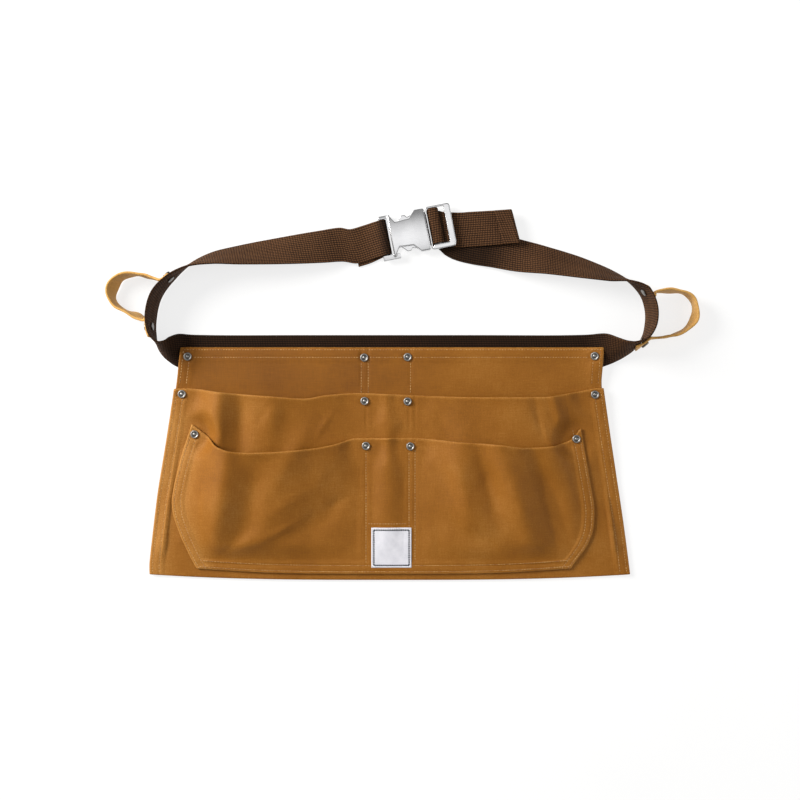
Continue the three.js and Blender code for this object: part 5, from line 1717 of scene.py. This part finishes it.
# %% Buckle finish
def buckle_finish():
    material, tree, shader = new_finish("satin_buckle")
    place = wire(tree, "ShaderNodeTexCoord", out=3)
    brushed = wire(tree, "ShaderNodeMapping", {"Vector": place, "Scale": (0.12, 1, 1)})
    lines = noise(tree, brushed, 1400, 3)
    cloud = noise(tree, place, 60, 3)
    colour = ramp(tree, cloud, [(0.3, (0.66, 0.66, 0.67)), (0.7, (0.8, 0.8, 0.81))])
    rough = sums(tree, "ADD", sums(tree, "MULTIPLY", cloud, 0.14), sums(tree, "MULTIPLY", lines, 0.12))
    rough = sums(tree, "ADD", rough, 0.12)
    bump = wire(tree, "ShaderNodeBump", {"Strength": 0.12, "Distance": 0.0001, "Height": lines})
    tree.links.new(colour, shader.inputs["Base Color"])
    tree.links.new(rough, shader.inputs["Roughness"])
    tree.links.new(bump, shader.inputs["Normal"])
    shader.inputs["Metallic"].default_value = 1
    return material


satin = buckle_finish()


# %% [markdown]
# ## Cast edges
#
# Nothing on a cast part is knife sharp: the mould's corners and the tumbling barrel round every
# edge by half a millimetre. Copies of the frame's solids are remeshed in small cells and smoothed,
# which rounds all edges alike. Before that the socket gets the short wing at its lower left, and
# afterwards its top is crowned and the clip's lower rail is drawn out a little.

# %% Cast the buckle
CAST_CELL = 0.36
SMOOTHING_ROUNDS = 12
# along, across and up from and to, in the buckle's own frame
WING = ((-45, -26), (-25.5, -20), (4.2, 9.4))
BOX_FACES = ((0, 1, 3, 2), (4, 6, 7, 5), (0, 4, 5, 1), (2, 3, 7, 6), (0, 2, 6, 4), (1, 5, 7, 3))
SOCKET_CROWN = 2.4
CROWN_MIDDLE = 0.5
CROWN_HALF_WIDTH = 23
CROWN_HALF_LENGTH = 22
CROWN_ENDS = 0.25
CROWN_UP = (5, 11)
CLIP_RAIL = 3.2
RAIL_OUTSIDE = (-23.4, -21.5)
RAIL_INSIDE = (-21, -12)


def cast_piece(name, node, crown, rail, blocks=()):
    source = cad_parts[node]
    shape = bmesh.new()
    shape.from_mesh(source.data)
    for block in blocks:
        corners = [shape.verts.new(source.matrix_world.inverted() @ Vector(at_buckle(u, w, up) * MM))
                   for u in block[0] for w in block[1] for up in block[2]]
        for face in BOX_FACES:
            shape.faces.new([corners[number] for number in face])
    raw = bpy.data.meshes.new("casting")
    shape.to_mesh(raw)
    shape.free()
    work = bpy.data.objects.new("casting", raw)
    work.matrix_world = source.matrix_world
    bpy.context.scene.collection.objects.link(work)
    cells = work.modifiers.new("cells", "REMESH")
    cells.mode = "VOXEL"
    cells.voxel_size = CAST_CELL * MM
    soft = work.modifiers.new("soft", "SMOOTH")
    soft.factor = 0.5
    soft.iterations = SMOOTHING_ROUNDS
    shaped = work.evaluated_get(bpy.context.evaluated_depsgraph_get())
    mesh = bpy.data.meshes.new_from_object(shaped)
    points = np.zeros(len(mesh.vertices) * 3)
    mesh.vertices.foreach_get("co", points)
    turn = np.array(work.matrix_world.to_3x3())
    points = (points.reshape(-1, 3) @ turn.T + np.array(work.matrix_world.translation)) / MM
    along = (points - [BUCKLE_X, BUCKLE_Y, 0]) @ ALONG_BUCKLE
    across = (points - [BUCKLE_X, BUCKLE_Y, 0]) @ ACROSS_BUCKLE
    middle = (SOCKET_LEFT + SOCKET_RIGHT) / 2
    dome = CROWN_MIDDLE - (across / CROWN_HALF_WIDTH) ** 2
    dome = dome - CROWN_ENDS * ((along - middle) / CROWN_HALF_LENGTH) ** 2
    points[:, 2] += crown * dome * ease(points[:, 2], *CROWN_UP)
    thicker = rail * ease(across, *RAIL_OUTSIDE) * (1 - ease(across, *RAIL_INSIDE))
    thicker = thicker * ease(along, BASE_RIGHT, MIDDLE_BAR_LEFT)
    points += thicker[:, None] * ACROSS_BUCKLE
    faces = [list(polygon.vertices) for polygon in mesh.polygons]
    bpy.data.objects.remove(work)
    piece = make_piece(name, points, faces, satin)
    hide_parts(node)


cast_piece("cast_socket", "buckle_socket", SOCKET_CROWN, 0, blocks=[WING])
cast_piece("cast_clip", "buckle_clip", 0.0, CLIP_RAIL)

# %% [markdown]
# ## Floor and light
#
# The photograph has a clean white ground and one broad soft light from the upper left. A large
# area lamp there gives the folds their long soft shadows, a weaker one from the right opens
# them up, and a pale sky fills the rest. The ground glows by itself, so shadows on it stay faint.


# %% Floor
FLOOR_GLOW = 0.76
FLOOR_UNDER = -0.0004


def floor_finish():
    material, tree, shader = new_finish("pale_floor")
    place = wire(tree, "ShaderNodeTexCoord", out=3)
    colour = ramp(tree, noise(tree, place, 3, 2), [(0.3, (0.25, 0.25, 0.25)), (0.7, (0.27, 0.27, 0.27))])
    tree.links.new(colour, shader.inputs["Base Color"])
    shader.inputs["Roughness"].default_value = 0.9
    shader.inputs["Specular IOR Level"].default_value = 0.0
    shader.inputs["Emission Color"].default_value = (1, 1, 1, 1)
    shader.inputs["Emission Strength"].default_value = FLOOR_GLOW
    return material


FLOOR_HALF = 4.0
floor_mesh = bpy.data.meshes.new("floor")
floor_corners = [(-FLOOR_HALF, -FLOOR_HALF, 0), (FLOOR_HALF, -FLOOR_HALF, 0),
                 (FLOOR_HALF, FLOOR_HALF, 0), (-FLOOR_HALF, FLOOR_HALF, 0)]
floor_mesh.from_pydata(floor_corners, [], [(0, 1, 2, 3)])
floor_mesh.materials.append(floor_finish())
floor = bpy.data.objects.new("floor", floor_mesh)
floor.location.z = FLOOR_UNDER
bpy.context.scene.collection.objects.link(floor)


# %% [markdown]
# ## Two lamps and a sky
#
# A disk lamp's size sets how soft its shadows are. The sky is bright at the zenith and at the
# horizon and dim between them, so the satin metal shows pale and grey bands at once.

# %% Lamps and sky
def soft_lamp(name, place, aim, size, power, colour=(1, 1, 1)):
    lamp = bpy.data.objects.new(name, bpy.data.lights.new(name, "AREA"))
    lamp.data.shape = "DISK"
    lamp.data.size = size
    lamp.data.energy = power
    lamp.data.color = colour
    lamp.location = place
    from_aim = np.array(place) - np.array(aim)
    flat = math.hypot(from_aim[0], from_aim[1])
    lamp.rotation_euler = (math.atan2(flat, from_aim[2]), 0, math.atan2(from_aim[0], -from_aim[1]))
    bpy.context.scene.collection.objects.link(lamp)
    print(name, "watts:", power)


soft_lamp("upper_left_lamp", (-1.65, 1.0, 1.12), (0, 0.08, 0), 1.1, 68, (1.0, 0.985, 0.95))
soft_lamp("right_fill_lamp", (1.9, 0.2, 1.3), (0, 0.1, 0), 1.6, 11)
sky = bpy.data.worlds.new("pale_sky")
sky.use_nodes = True
background = sky.node_tree.nodes["Background"]
upwards = wire(sky.node_tree, "ShaderNodeSeparateXYZ", {0: wire(sky.node_tree, "ShaderNodeTexCoord")}).node
glow = ramp(sky.node_tree, upwards.outputs[2], [
    (0.0, (0.95, 0.95, 0.95)), (0.14, (0.9, 0.9, 0.9)), (0.26, (0.19, 0.19, 0.19)),
    (0.89, (0.2, 0.2, 0.2)), (0.99, (1.3, 1.3, 1.3)),
])
sky.node_tree.links.new(glow, background.inputs["Color"])
background.inputs["Strength"].default_value = 1.0
bpy.context.scene.world = sky
bpy.context.scene.view_settings.view_transform = "Standard"
